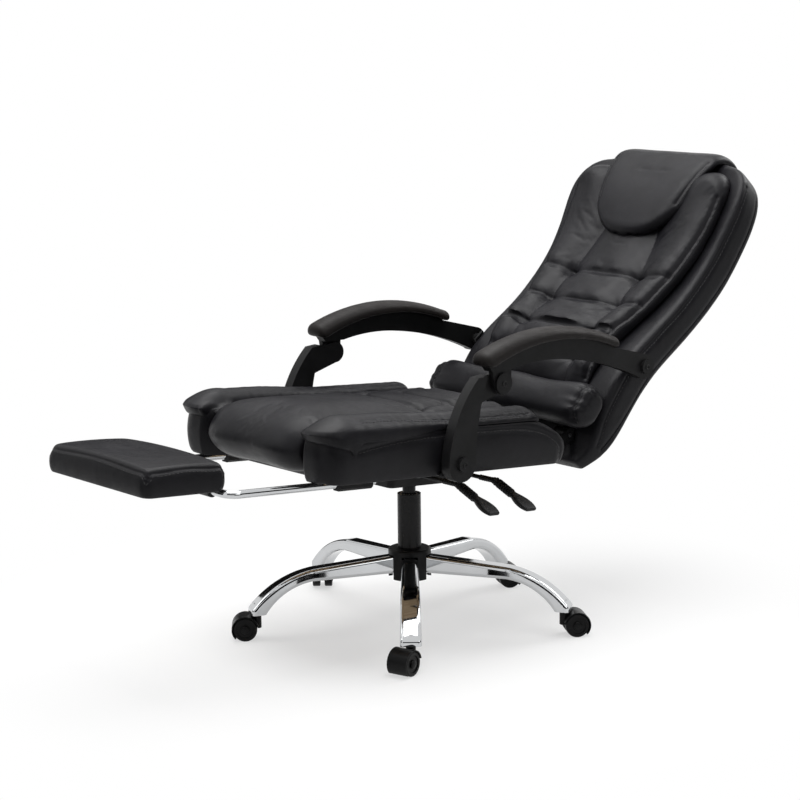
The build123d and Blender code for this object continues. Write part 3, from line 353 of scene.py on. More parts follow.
class Workshop:
    """Materials made once, and the bench where a piece gets its finish and its body."""

    def __init__(self) -> None:
        """Start with no material made."""
        self.made: dict[str, bpy.types.Material] = {}

    def finish(self, slot: str) -> bpy.types.Material:
        """The material of a slot, made on first use."""
        if slot not in self.made:
            self.made[slot] = FINISHES[slot].material()
        return self.made[slot]

    def mount(self, thing: Thing, body: str, slot: str) -> None:
        """Give a piece its finish and let it ride on a body.

        Args:
            thing: The piece.
            body: The CAD body it moves with.
            slot: The record's material slot of its finish, or the seam thread, which goes with the leather.
        """
        thing.data.materials.clear()
        thing.data.materials.append(self.finish(slot))
        for polygon in thing.data.polygons:
            polygon.use_smooth = True
        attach(thing, body)

    def piece(self, mesh: Mesh, body: str, slot: str) -> Thing:
        """Put a mesh in the scene as a piece of the same name.

        Args:
            mesh: The mesh, in the row frame.
            body: The CAD body it moves with.
            slot: The slot of its finish, or the seam thread.

        Returns:
            The new object.
        """
        thing = bpy.data.objects.new(mesh.name, mesh)
        bpy.context.scene.collection.objects.link(thing)
        self.mount(thing, body, slot)
        return thing


def coordinates(mesh: Mesh) -> Rows:
    """The vertices of a mesh as rows."""
    flat = np.zeros(3 * len(mesh.vertices), np.float32)
    mesh.vertices.foreach_get("co", flat)
    return flat.reshape(-1, 3).astype(float)


def move(mesh: Mesh, points: Rows) -> None:
    """Set the vertices of a mesh."""
    mesh.vertices.foreach_set("co", points.astype(np.float32).ravel())
    mesh.update()


def normals(mesh: Mesh) -> Rows:
    """The vertex normals of a mesh as rows."""
    flat = np.zeros(3 * len(mesh.vertices), np.float32)
    mesh.vertex_normals.foreach_get("vector", flat)
    return flat.reshape(-1, 3).astype(float)


def skin(mesh: Mesh) -> BVHTree:
    """A search tree over the faces of a mesh."""
    return BVHTree.FromPolygons([v.co for v in mesh.vertices], [list(p.vertices) for p in mesh.polygons])


def share(distance: Rows, run: float) -> Rows:
    """How much of a run a distance covers, from none to all of it."""
    return np.clip(distance / run, 0.0, 1.0)


def bell(distance: Rows, width: float) -> Rows:
    """One at no distance, fading smoothly over a width."""
    return np.exp(-((distance / width) ** 2))


def run_along(line: Rows) -> Rows:
    """The length of a line up to each of its points."""
    return np.concatenate([[0.0], np.cumsum(np.linalg.norm(np.diff(line, axis=0), axis=1))])


def sample(line: Rows, run: Rows, places: Rows) -> Rows:
    """The points of a line at places along its run."""
    return np.stack([np.interp(places, run, line[:, k]) for k in range(3)], axis=1)


def smooth_path(points: Sequence[Point], step: float = 0.004, closed: bool = False) -> Rows:
    """A smooth line through points, sampled evenly.

    Args:
        points: Points that the line goes through.
        step: Distance between samples, in metres.
        closed: Whether the line returns to its start.

    Returns:
        The samples as rows.
    """
    p = np.array(points, float)
    ends = (p[-1:], p, p[:2]) if closed else (p[:1], p, p[-1:])
    run_up = np.vstack(ends)
    t = np.linspace(0.0, 1.0, 24, endpoint=False)[:, None]
    fine = []
    for a, b, c, d in zip(run_up, run_up[1:], run_up[2:], run_up[3:]):
        bend, twist = 2 * a - 5 * b + 4 * c - d, 3 * b - a - 3 * c + d
        fine.append(0.5 * (2 * b + (c - a) * t + bend * t**2 + twist * t**3))
    line = np.vstack(fine + [p[:1] if closed else p[-1:]])
    run = run_along(line)
    return sample(line, run, np.linspace(0.0, run[-1], max(int(run[-1] / step), 2)))


def rings_mesh(name: str, tubes: Sequence[Sequence[Ring]], sides: int) -> Mesh:
    """Closed round bodies, each skinned over its rings, in one mesh.

    Args:
        name: The mesh's name.
        tubes: The rings of each body: middle, two directions in the ring's plane, and radius.
        sides: Faces round a body.

    Returns:
        The mesh.
    """
    bm = bmesh.new()
    turn = np.linspace(0.0, 2 * math.pi, sides, endpoint=False)
    c, s = np.cos(turn), np.sin(turn)
    for tube in tubes:
        rings = [
            [bm.verts.new(v) for v in middle + radius * (np.outer(c, across) + np.outer(s, upward))]
            for middle, across, upward, radius in tube
        ]
        for first, second in zip(rings, rings[1:]):
            for k in range(sides):
                bm.faces.new((first[k - 1], first[k], second[k], second[k - 1]))
        bm.faces.new(list(reversed(rings[0])))
        bm.faces.new(rings[-1])
    bmesh.ops.recalc_face_normals(bm, faces=bm.faces)
    mesh = bpy.data.meshes.new(name)
    bm.to_mesh(mesh)
    bm.free()
    return mesh


def tube_mesh(name: str, paths: Sequence[Rows], radius: float | Rows, sides: int) -> Mesh:
    """Round tubes along paths, closed at both ends, in one mesh.

    Args:
        name: The mesh's name.
        paths: Rows of points of each tube.
        radius: The tubes' radius, or one radius for each point.
        sides: Faces round a tube.

    Returns:
        The mesh.
    """
    tubes = []
    for path in paths:
        along = np.gradient(path, axis=0)
        along /= np.linalg.norm(along, axis=1)[:, None] + 1e-12
        steep = abs(along[0][2]) >= 0.9
        side = np.cross(along[0], (1.0, 0.0, 0.0) if steep else (0.0, 0.0, 1.0))
        rings = []
        for point, ahead, size in zip(path, along, np.broadcast_to(radius, len(path))):
            side = side - ahead * float(side @ ahead)
            side /= np.linalg.norm(side) + 1e-12
            rings.append((point, side, np.cross(ahead, side), size))
        tubes.append(rings)
    return rings_mesh(name, tubes, sides)


@dataclass(frozen=True)
class Seam:
    """A sewn line on a cushion, in the cushion's own frame."""

    points: tuple[Point, ...]
    facing: Facing = Facing.OUT
    depth: float = 0.006
    width: float = 0.016
    sewing: Sewing = Sewing.PLAIN
    pucker: float = 0.0
    pitch: float = 0.026
    closed: bool = False


@dataclass(frozen=True)
class Tuft:
    """A point drawn in on the face of a cushion, with creases that radiate from it."""

    at: Point
    depth: float
    radius: float = 0.02
    creases: int = 6


@dataclass(frozen=True)
class Marks:
    """How deep and how far sewn lines, gathers and tufts mark a cover."""

    line_depth: float = 0.0016
    piped_depth: float = 0.0008
    line_width: float = 0.0026
    gather_fade: float = 0.02
    gather_clear: float = 0.002
    gather_sway: Spans = ((0.006, 61.0), (0.004, 143.0))
    dimple_depth: float = 0.002
    dimple_width: float = 0.006
    crease_depth: float = 0.0016
    crease_fade: float = 0.03
    crease_clear: float = 0.004
    crease_turn: float = 0.7
    crease_sway: float = 1.3
    facing_gain: float = 3.0
    facing_start: float = 0.6


MARKS = Marks()
CLOTH = {
    "quality": 4, "mass": 0.35, "tension_stiffness": 18.0, "compression_stiffness": 18.0,
    "shear_stiffness": 8.0, "bending_stiffness": 0.6, "use_pressure": True, "vertex_group_mass": "sewn",
}


@dataclass
class Upholstery:
    """A padded piece grown from the space of its CAD solid: remeshed, sewn, blown up and stitched."""

    shop: Workshop
    piece: str
    node: str
    body: str
    place: Place
    slot: str = "black_leather"
    voxel: float = 0.005
    pressure: float = 4.0
    cap: float = 0.012
    fill: float = 0.7
    shrink: float = 0.002
    soften: int = 4
    frames: int = 20
    held_within: float = 0.9
    held_facing: float = -0.1
    cast: float = 0.4
    stitch_length: float = 0.0055
    stitch_gap: float = 0.0035
    stitch_offset: float = 0.0045
    stitch_lift: float = 0.6
    thread_radius: float = 0.00055
    thread_sides: int = 5
    piping_radius: float = 0.0022
    piping_sides: int = 8
    seams: list[Seam] = field(default_factory=list)
    tufts: list[Tuft] = field(default_factory=list)

    def sew(self) -> None:
        """Fill in the seams and tufts of this piece."""

    def pair(self, x: float | Sequence[float], run: Sequence[float], **sewing: object) -> None:
        """Sew the same line on the left and on the right of the face.

        Args:
            x: How far the line is from the middle, all along or at each point.
            run: Where its points are along the piece.
            sewing: How the seam is sewn.
        """
        for sign in SIGNS:
            points = tuple((sign * away, y, OVER) for away, y in zip(np.broadcast_to(x, len(run)), run))
            self.seams.append(Seam(points, **sewing))

    def crossings(self, x: float, rows: Sequence[float], depth: float) -> None:
        """Draw in a tuft on the left and on the right of each row."""
        self.tufts += [Tuft((sign * x, row, OVER), depth) for row in rows for sign in SIGNS]

    def form(self, points: Rows) -> Rows:
        """Reshape the starting form, given and returned in the piece's own frame."""
        return points

    def start(self) -> Thing:
        """Copy the CAD solid into a softened body, meshed evenly in its own frame.

        Returns:
            The body, back in the row frame.
        """
        mesh = frame["nodes"][self.node].data.copy()
        thing = bpy.data.objects.new(self.piece, mesh)
        bpy.context.scene.collection.objects.link(thing)
        weld = bmesh.new()
        weld.from_mesh(mesh)
        bmesh.ops.remove_doubles(weld, verts=weld.verts, dist=1e-5)
        weld.to_mesh(mesh)
        weld.free()
        move(mesh, self.place.local(coordinates(mesh)))
        remesh = thing.modifiers.new("even", "REMESH")
        remesh.mode, remesh.voxel_size = "VOXEL", self.voxel
        relax = thing.modifiers.new("relax", "SMOOTH")
        relax.factor, relax.iterations = 0.5, self.soften
        self.bake(thing)
        points = self.place.world(self.form(coordinates(thing.data)))
        move(thing.data, points)
        move(thing.data, points - self.shrink * normals(thing.data))
        return thing

    def bake(self, thing: Thing) -> None:
        """Replace an object's mesh by what its modifiers make of it."""
        depsgraph = bpy.context.evaluated_depsgraph_get()
        mesh = bpy.data.meshes.new_from_object(thing.evaluated_get(depsgraph))
        old = thing.data
        thing.modifiers.clear()
        thing.data = mesh
        bpy.data.meshes.remove(old)

    def lay(self, tree: BVHTree, points: Rows, facing: Facing) -> Rows:
        """Lay points on the surface.

        Args:
            tree: Search tree of the surface.
            points: The points, in the piece's own frame.
            facing: The side of the piece that they are laid on.

        Returns:
            Those that meet the surface, there, in the row frame.
        """
        toward = Vector(np.array(facing.value) @ self.place.axes())
        found = []
        for point in self.place.world(points):
            hit, _, _, _ = tree.ray_cast(Vector(point) + self.cast * toward, -toward)
            if hit is not None:
                found.append(np.array(hit))
        return np.array(found).reshape(-1, 3)

    def lay_seam(self, tree: BVHTree, seam: Seam) -> Rows:
        """Lay a seam on the surface, as samples in the row frame."""
        return self.lay(tree, smooth_path(seam.points, closed=seam.closed), seam.facing)

    def draw_in(self, mesh: Mesh, fine: bool) -> Rows:
        """Draw the surface in along seams and at tufts.

        Args:
            mesh: The mesh to change.
            fine: Whether to cut only the narrow sewn line, on the finished surface.

        Returns:
            The distance of each vertex from the nearest seam or tuft.
        """
        points, out = coordinates(mesh), normals(mesh)
        nearest = np.full(len(points), 1.0)
        inward = np.zeros(len(points))
        tree = skin(mesh)
        for seam in self.seams:
            line = self.lay_seam(tree, seam)
            if len(line) < 2:
                LOG.warning("%s: a seam misses the surface", self.piece)
                continue
            lookup = KDTree(len(line))
            for index, point in enumerate(line):
                lookup.insert(point, index)
            lookup.balance()
            found = [lookup.find(point) for point in points]
            reach = np.array([item[2] for item in found])
            toward = np.array(seam.facing.value) @ self.place.axes()
            facing = np.clip(out @ toward * MARKS.facing_gain + MARKS.facing_start, 0.0, 1.0)
            if fine:
                narrow = MARKS.piped_depth if seam.sewing is Sewing.PIPED else MARKS.line_depth
                inward += narrow * bell(reach, MARKS.line_width) * facing
            else:
                inward += seam.depth * bell(reach, seam.width) * facing
                where = uneven = run_along(line)[[item[1] for item in found]]
                for sway, rate in MARKS.gather_sway:
                    uneven = uneven + sway * np.sin(where * rate)
                ripple = np.cos(2 * math.pi * uneven / seam.pitch) * (reach > MARKS.gather_clear)
                inward += seam.pucker * ripple * np.exp(-reach / MARKS.gather_fade) * facing
            nearest = np.minimum(nearest, reach + (1.0 - facing))
        for number, tuft in enumerate(self.tufts):
            at = self.lay(tree, np.array([tuft.at]), Facing.OUT)
            if not len(at):
                continue
            gap = points - at[0]
            reach = np.linalg.norm(gap, axis=1)
            facing = out @ self.place.axes()[2] > 0.0
            if fine:
                inward += MARKS.dimple_depth * bell(reach, MARKS.dimple_width) * facing
            else:
                flat = gap @ self.place.axes().T
                angle = np.arctan2(flat[:, 1], flat[:, 0]) + MARKS.crease_turn * number
                rays = np.cos(tuft.creases * angle + MARKS.crease_sway * np.sin(2 * angle + number))
                rays *= np.exp(-reach / MARKS.crease_fade) * (reach > MARKS.crease_clear)
                inward += (tuft.depth * bell(reach, tuft.radius) + MARKS.crease_depth * rays) * facing
            nearest = np.minimum(nearest, reach + (1.0 - facing))
        move(mesh, points - out * inward[:, None])
        return nearest

    def blow_up(self, thing: Thing, sewn: Rows) -> None:
        """Swell the cover as pressed cloth that is held at its seams and on its hidden side.

        Args:
            thing: The piece.
            sewn: Distance of each vertex from the nearest seam.
        """
        rest = coordinates(thing.data)
        outward = normals(thing.data) @ self.place.axes()[2]
        held = np.where((sewn < self.held_within * self.voxel) | (outward < self.held_facing))[0]
        group = thing.vertex_groups.new(name="sewn")
        group.add([int(i) for i in held], 1.0, "REPLACE")
        cloth = thing.modifiers.new("cover", "CLOTH")
        settings = cloth.settings
        for key, value in CLOTH.items():
            setattr(settings, key, value)
        settings.uniform_pressure_force = self.pressure
        settings.effector_weights.gravity = 0.0
        cloth.point_cache.frame_start, cloth.point_cache.frame_end = 1, self.frames
        scene = bpy.context.scene
        for number in range(1, self.frames + 1):
            scene.frame_set(number)
        depsgraph = bpy.context.evaluated_depsgraph_get()
        blown = bpy.data.meshes.new_from_object(thing.evaluated_get(depsgraph))
        step = coordinates(blown) - rest
        bpy.data.meshes.remove(blown)
        thing.modifiers.clear()
        thing.vertex_groups.clear()
        scene.frame_set(1)
        length = np.linalg.norm(step, axis=1)
        allowed = self.cap * np.tanh(length / self.cap)
        move(thing.data, rest + step * (allowed / np.maximum(length, 1e-9))[:, None])

    def thread(self, thing: Thing) -> None:
        """Lay stitches and piping along the finished seams."""
        tree = skin(thing.data)
        dashes: list[Rows] = []
        piping: list[Rows] = []
        for seam in self.seams:
            line = self.lay_seam(tree, seam)
            if len(line) < 4:
                continue
            if seam.sewing is Sewing.PIPED:
                piping.append(line)
            if seam.sewing is Sewing.STITCHED:
                dashes += self.dashes(tree, line)
        if dashes:
            mesh = tube_mesh(f"{self.piece}_stitching", dashes, self.thread_radius, self.thread_sides)
            self.shop.piece(mesh, self.body, "seam_thread")
        if piping:
            mesh = tube_mesh(f"{self.piece}_piping", piping, self.piping_radius, self.piping_sides)
            self.shop.piece(mesh, self.body, self.slot)

    def dashes(self, tree: BVHTree, line: Rows) -> list[Rows]:
        """The stitches beside a seam.

        Args:
            tree: Search tree of the finished surface.
            line: The seam's samples.

        Returns:
            The points of each stitch.
        """
        beside = []
        for point, forward in zip(line, np.gradient(line, axis=0)):
            _, out, _, _ = tree.find_nearest(Vector(point))
            sideways = np.cross(forward, np.array(out))
            sideways /= np.linalg.norm(sideways) + 1e-12
            hit, lift, _, _ = tree.find_nearest(Vector(point + self.stitch_offset * sideways))
            beside.append(np.array(hit) + self.stitch_lift * self.thread_radius * np.array(lift))
        row = np.array(beside)
        run = run_along(row)
        pitch = self.stitch_length + self.stitch_gap
        stitch = np.linspace(0.0, self.stitch_length, 3)
        return [sample(row, run, number * pitch + stitch) for number in range(int(run[-1] / pitch))]

    def build(self) -> Thing:
        """Make the padded piece and put it on its body in place of its CAD solid.

        Returns:
            The piece.
        """
        self.sew()
        thing = self.start()
        sewn = self.draw_in(thing.data, fine=False)
        if self.frames:
            self.blow_up(thing, sewn)
        round_off = thing.modifiers.new("round", "SUBSURF")
        round_off.levels = round_off.render_levels = 1
        self.bake(thing)
        self.draw_in(thing.data, fine=True)
        self.shop.mount(thing, self.body, self.slot)
        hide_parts(self.node)
        self.thread(thing)
        LOG.info("padded piece %s: %d vertices", self.piece, len(thing.data.vertices))
        return thing


@dataclass
class SeatBox(Upholstery):
    """The plain box cushion under the seat pad."""

    half_width: float = 0.246
    hem: float = 0.008
    hem_from: float = 0.035
    cheek_from: float = 0.142
    cheek_fade: float = 0.024
    cheek_root: float = -0.150
    cheek_run: float = 0.200
    cheek_grow: float = 0.042
    brow: Spans = (
        (-0.345, 0.060), (-0.250, 0.072), (-0.140, 0.078), (0.0, 0.079), (0.090, 0.077), (0.150, 0.066),
        (0.185, 0.050), (0.206, 0.030), (0.214, 0.004),
    )

    def form(self, points: Rows) -> Rows:
        """Let the cover hang a little below the board, and bring its cheeks forward beside the roll."""
        shaped = points.copy()
        cheek = share(np.abs(points[:, 0]) - self.cheek_from, self.cheek_fade)
        shaped[:, 1] -= self.cheek_grow * cheek * share(self.cheek_root - points[:, 1], self.cheek_run)
        shaped[:, 2] -= self.hem * share(self.hem_from - points[:, 2], self.hem_from)
        return shaped

    def sew(self) -> None:
        """One stitched line along each side, following the arched top and the rear end."""
        for facing, sign in FLANKS:
            points = tuple((sign * self.half_width, y, z) for y, z in self.brow)
            self.seams.append(Seam(points, facing, depth=0.002, width=0.008, sewing=Sewing.STITCHED))


@dataclass
class SeatPad(Upholstery):
    """The seat pad: a panel that rolls over the front between two pillow wings."""

    channel: float = 0.1545
    channel_fade: float = 0.014
    wing_root: float = -0.080
    wing_run: float = 0.200
    wing_under: float = 0.100
    wing_under_fade: float = 0.014
    wing_plump: float = 0.018
    wing_out: float = 0.011
    wing_out_from: float = 0.195
    wing_out_fade: float = 0.035
    wing_crown: float = 0.009
    wing_centre: float = 0.200
    wing_half: float = 0.044
    wing_middle: float = 0.090
    wing_edge: float = 0.228
    tip_from: float = -0.350
    tip_run: float = 0.100
    tip_squeeze: float = 0.55
    tip_back: float = 0.012
    columns: float = 0.095
    rows: Run = (-0.070, 0.030)
    row_run: Run = (-0.1545, -0.1, -0.05, 0.0, 0.05, 0.1, 0.1545)
    channel_run: Run = (0.140, 0.05, -0.05, -0.15, -0.25, -0.340)
    column_run: Run = (0.140, 0.08, 0.030, -0.02, -0.070)
    edge_run: Run = (-0.330, -0.250, -0.120, 0.0, 0.120)

    def form(self, points: Rows) -> Rows:
        """Plump up the wings underneath and outwards, and round their front tips."""
        shaped = points.copy()
        away = np.abs(points[:, 0])
        wing = share(away - self.channel, self.channel_fade)
        reach = share(self.wing_root - points[:, 1], self.wing_run)
        reach = wing * reach**2 * (3.0 - 2.0 * reach)
        under = share(self.wing_under - points[:, 2], self.wing_under_fade)
        outer = share(away - self.wing_out_from, self.wing_out_fade)
        swell = np.clip(1.0 - ((away - self.wing_centre) / self.wing_half) ** 2, 0.0, 1.0)
        shaped[:, 0] += self.wing_out * outer * reach * np.sign(points[:, 0])
        shaped[:, 2] -= self.wing_plump * under * reach
        shaped[:, 2] += self.wing_crown * swell * (1.0 - under) * reach
        tip = wing * share(self.tip_from - points[:, 1], self.tip_run)
        shaped[:, 2] += (self.wing_middle - shaped[:, 2]) * self.tip_squeeze * tip**2
        shaped[:, 1] += self.tip_back * tip**2
        return shaped

    def sew(self) -> None:
        """Channels beside the middle panel, sewn rows and columns behind, and tufts where they cross."""
        stitched = Sewing.STITCHED
        self.pair(self.channel, self.channel_run, depth=0.006, width=0.012, sewing=stitched, pucker=0.0012)
        self.pair(self.columns, self.column_run, depth=0.006, width=0.013)
        self.pair(
            self.wing_edge, self.edge_run,
            depth=0.002, width=0.010, sewing=stitched, pucker=0.0008, pitch=0.03,
        )
        for row in self.rows:
            self.seams.append(Seam(tuple((x, row, OVER) for x in self.row_run), depth=0.007, width=0.014))
        self.crossings(self.columns, self.rows, depth=0.008)


@dataclass
class FootPad(Upholstery):
    """The footrest's boxed pad."""

    half_width: float = 0.169
    front: float = -0.784
    rear: float = -0.596
    edge: float = 0.006
    corner: float = 0.012
    grow: float = 0.004
    drop: float = 0.009
    crown: float = 0.007
    crown_level: float = 1.3
    crown_along: float = 0.6

    def form(self, points: Rows) -> Rows:
        """Pull the cover over the edges of its board and crown its top."""
        shaped = points.copy()
        middle = 0.5 * (self.front + self.rear)
        low, high = points[:, 2].min(), points[:, 2].max()
        rise = share(points[:, 2] - low, high - low)
        across, along = points[:, 0] / self.half_width, (points[:, 1] - middle) / (self.rear - middle)
        dome = np.clip(self.crown_level - across**2 - self.crown_along * along**2, 0.0, 1.0)
        shaped[:, 0] += self.grow * across
        shaped[:, 1] += self.grow * along
        shaped[:, 2] += self.crown * rise * dome - self.drop * (1.0 - rise)
        return shaped

    def sew(self) -> None:
        """A stitched line round the top face."""
        side, turn = self.half_width - self.edge, self.corner
        front, rear = self.front + self.edge, self.rear - self.edge
        half = (
            (-side + turn, front), (0.0, front), (side - turn, front), (side, front + turn),
            (side, 0.5 * (front + rear)), (side, rear - turn),
        )
        loop = half + tuple((-x, front + rear - y) for x, y in half)
        points = tuple((x, y, OVER) for x, y in loop)
        self.seams.append(Seam(points, depth=0.0016, width=0.006, sewing=Sewing.STITCHED, closed=True))


@dataclass
class BackShell(Upholstery):
    """The padded shell of the back, with a panel along each side between two sewn edges."""

    half_width: float = 0.24
    seam_inset: float = 0.017
    stations: tuple[Point, ...] = (
        (0.0, -0.034, 0.052), (0.07, -0.020, 0.084), (0.185, -0.017, 0.092), (0.28, -0.040, 0.090),
        (0.38, -0.063, 0.088), (0.49, -0.072, 0.090), (0.57, -0.062, 0.090), (0.64, -0.047, 0.088),
        (0.685, -0.040, 0.080),
    )

    def form(self, points: Rows) -> Rows:
        """Curl the rims of the shell forward."""
        shaped = points.copy()
        shaped[:, 2] += CURL.at(points)
        return shaped

    def sew(self) -> None:
        """A stitched front seam and a piped rear seam down each side."""
        for facing, sign in FLANKS:
            for edge, sewing in ((1.0, Sewing.STITCHED), (-1.0, Sewing.PIPED)):
                points = tuple(
                    (sign * self.half_width, s, n + edge * (0.5 * t - self.seam_inset))
                    for s, n, t in self.stations
                )
                self.seams.append(Seam(points, facing, depth=0.0025, width=0.007, sewing=sewing))


@dataclass
class BackCushion(Upholstery):
    """The tufted cushion on the back: narrow at the waist, wide at the shoulders."""

    full_width: float = 0.222
    widths: Spans = (
        (0.08, 0.170), (0.2, 0.174), (0.3, 0.184), (0.4, 0.200), (0.5, 0.215), (0.58, 0.224), (0.64, 0.226),
        (0.73, 0.224),
    )
    rows: Run = (0.155, 0.240, 0.325, 0.412)
    row_inset: float = 0.012
    row_bow: float = 0.006
    row_points: int = 9
    columns: float = 0.102
    column_start: float = 0.100
    fan: Spans = ((0.102, 0.412), (0.094, 0.46), (0.086, 0.51), (0.080, 0.545))
    edge_inset: float = 0.010
    edge_run: Run = (0.12, 0.2, 0.28, 0.36, 0.44, 0.52, 0.58, 0.63)

    def width(self, reach: float | Rows) -> float | Rows:
        """The half width of the cushion at a reach up the back."""
        return np.interp(reach, *zip(*self.widths))

    def form(self, points: Rows) -> Rows:
        """Draw the cushion in at the waist and let it follow the curled rims."""
        shaped = points.copy()
        shaped[:, 2] += CURL.at(points)
        shaped[:, 0] *= self.width(points[:, 1]) / self.full_width
        return shaped

    def sew(self) -> None:
        """Sewn rows and columns, tufts where they cross, and a gathered stitched edge."""
        parts = np.linspace(-1.0, 1.0, self.row_points)
        for row in self.rows:
            half = self.width(row) - self.row_inset
            points = tuple((part * half, row + self.row_bow * part**2, OVER) for part in parts)
            self.seams.append(Seam(points, depth=0.004, width=0.010))
        self.crossings(self.columns, self.rows, depth=0.007)
        self.pair(self.columns, (self.column_start, *self.rows), depth=0.004, width=0.012)
        self.pair(*zip(*self.fan), depth=0.004, width=0.016)
        edge = self.width(self.edge_run) - self.edge_inset
        self.pair(
            edge, self.edge_run, depth=0.003, width=0.007, sewing=Sewing.STITCHED, pucker=0.0006, pitch=0.019
        )


@dataclass
class Bolster(Upholstery):
    """The loose lumbar bolster, gathered at both ends."""

    half_width: float = 0.246
    end_inset: float = 0.024
    end_run: Run = (-0.010, 0.01, 0.038, 0.066, 0.086)

    def sew(self) -> None:
        """A gathered line on the front, near each end."""
        end = self.half_width - self.end_inset
        self.pair(
            end, self.end_run, depth=0.004, width=0.009, sewing=Sewing.STITCHED, pucker=0.0026, pitch=0.018
        )


@dataclass
class Headrest(Upholstery):
    """The smooth pad draped over the top of the back."""

    half_width: float = 0.142
    taper: Spans = ((0.50, 0.76), (0.56, 0.86), (0.64, 0.98), (0.72, 1.08), (0.80, 1.10))
    iron_half: float = 0.105
    iron_reach: Span = (0.535, 0.690)
    iron_fade: float = 0.030
    edge_inset: float = 0.013
    edge_run: Run = (0.60, 0.64, 0.68, 0.72)

    def form(self, points: Rows) -> Rows:
        """Narrow the pad towards its lower end and iron its front face smooth."""
        shaped = points.copy()
        shaped[:, 0] *= np.interp(points[:, 1], *zip(*self.taper))
        low, high = self.iron_reach
        along = np.minimum(points[:, 1] - low, high - points[:, 1])
        inside = np.minimum(self.iron_half - np.abs(points[:, 0]), along)
        level = np.median(points[inside > 0.0, 2])
        face = (inside > 0.0) & (points[:, 2] > level)
        x, s, n = points[face, 0] / self.iron_half, (points[face, 1] - low) / (high - low), points[face, 2]
        terms = np.stack([np.ones_like(x), s, s**2, s**3, x**2, x**2 * s, x**4], axis=1)
        fitted = terms @ np.linalg.lstsq(terms, n, rcond=None)[0]
        shaped[face, 2] += share(inside[face], self.iron_fade) * (fitted - n)
        return shaped

    def sew(self) -> None:
        """A stitched line inside each side edge of the front face."""
        edge = self.half_width * np.interp(self.edge_run, *zip(*self.taper)) - self.edge_inset
        self.pair(edge, self.edge_run, depth=0.0022, width=0.007, sewing=Sewing.STITCHED)


@dataclass
class ArmPad(Upholstery):
    """The moulded pad on an armrest, which has no seams."""


@dataclass
class LeverBoot:
    """The ribbed rubber boot on the rod of a lever under the seat, slim where the footrest's tube passes."""

    shop: Workshop
    lever: str
    along: float
    root: float = 0.150
    bend: float = 0.198
    bend_clear: float = 0.006
    drop: float = 0.037
    fall: float = 21.0
    tail: float = 0.022
    radius: Span = (0.0056, 0.0073)
    rib: Span = (0.0005, 0.0019)
    swell_at: Span = (0.188, 0.200)
    pitch: float = 0.0066
    step: float = 0.0008
    sides: int = 20

    def build(self) -> Thing:
        """Make the boot round the bent rod.

        Returns:
            The boot.
        """
        c, s = math.cos(math.radians(self.fall)), math.sin(math.radians(self.fall))
        straight = np.linspace(self.root, self.bend - self.bend_clear, 5)
        fallen = np.linspace(self.bend_clear, self.tail, 3)
        line = [(x, self.along, -self.drop) for x in straight]
        line += [(self.bend + c * d, self.along, -self.drop - s * d) for d in fallen]
        path = smooth_path(line, self.step)
        wave = -np.cos(2.0 * math.pi * np.arange(len(path)) * self.step / self.pitch)
        radius, rib = (np.interp(path[:, 0], self.swell_at, sizes) for sizes in (self.radius, self.rib))
        mesh = tube_mesh(f"{self.lever}_boot", [SEAT_PLACE.world(path)], radius + rib * wave, self.sides)
        LOG.info("boot on %s", self.lever)
        return self.shop.piece(mesh, self.lever, "black_plastic")


@dataclass
class FaceDisc:
    """A small turned disc on the outer end of a CAD node, with the radius and height of each of its rings."""

    shop: Workshop
    name: str
    node: str
    slot: str = field(init=False)
    profile: Spans = field(init=False)
    end_depth: float = 0.0004
    sides: int = 40

    def points(self, node: str) -> Rows:
        """The vertices of a CAD node in the row frame."""
        thing = frame["nodes"][node]
        turn = np.array(thing.matrix_world.to_3x3())
        return coordinates(thing.data) @ turn.T + np.array(thing.matrix_world.translation)

    def seat(self) -> tuple[Rows, Rows]:
        """The points that the disc sits on the end of, and the direction out of that end."""
        raise NotImplementedError

    def build(self) -> Thing:
        """Turn the profile into a closed disc on the end face.

        Returns:
            The disc.
        """
        points, out = self.seat()
        level = points @ out
        end = points[level > level.max() - self.end_depth]
        middle = 0.5 * (end.min(axis=0) + end.max(axis=0))
        across = np.cross(out, (0.0, 0.0, 1.0))
        across /= np.linalg.norm(across)
        upward = np.cross(out, across)
        rings = [(middle + out * rise, across, upward, radius) for radius, rise in self.profile]
        LOG.info("%s on %s", self.name, self.node)
        return self.shop.piece(rings_mesh(self.name, [rings], self.sides), BODY_OF[self.node], self.slot)


@dataclass
class SocketRim(FaceDisc):
    """The rim of the socket in the head of an arm bolt."""

    side: float = 1.0
    slot = "black_plastic"
    profile = (
        (0.0062, -0.0004), (0.0062, 0.0006), (0.0056, 0.0012), (0.0042, 0.0012), (0.0038, 0.0008),
        (0.0036, 0.0001),
    )

    def seat(self) -> tuple[Rows, Rows]:
        """The bolt on this disc's side of the chair, facing outwards."""
        points = self.points(self.node)
        return points[points[:, 0] * self.side > 0.0], np.array((self.side, 0.0, 0.0))


@dataclass
class HubCap(FaceDisc):
    """The cap over the axle of a caster's wheel."""

    hood: str = ""
    slot = "caster_nylon"
    profile = ((0.0090, -0.0004), (0.0090, 0.0010), (0.0078, 0.0022), (0.0040, 0.0030), (0.0010, 0.0032))

    def seat(self) -> tuple[Rows, Rows]:
        """The wheel, which is thinnest along its axle, facing away from the caster's hood."""
        points = self.points(self.node)
        middle = points.mean(axis=0)
        across = np.linalg.eigh(np.cov((points - middle).T))[1][:, 0]
        return points, across * np.sign((middle - self.points(self.hood).mean(axis=0)) @ across)


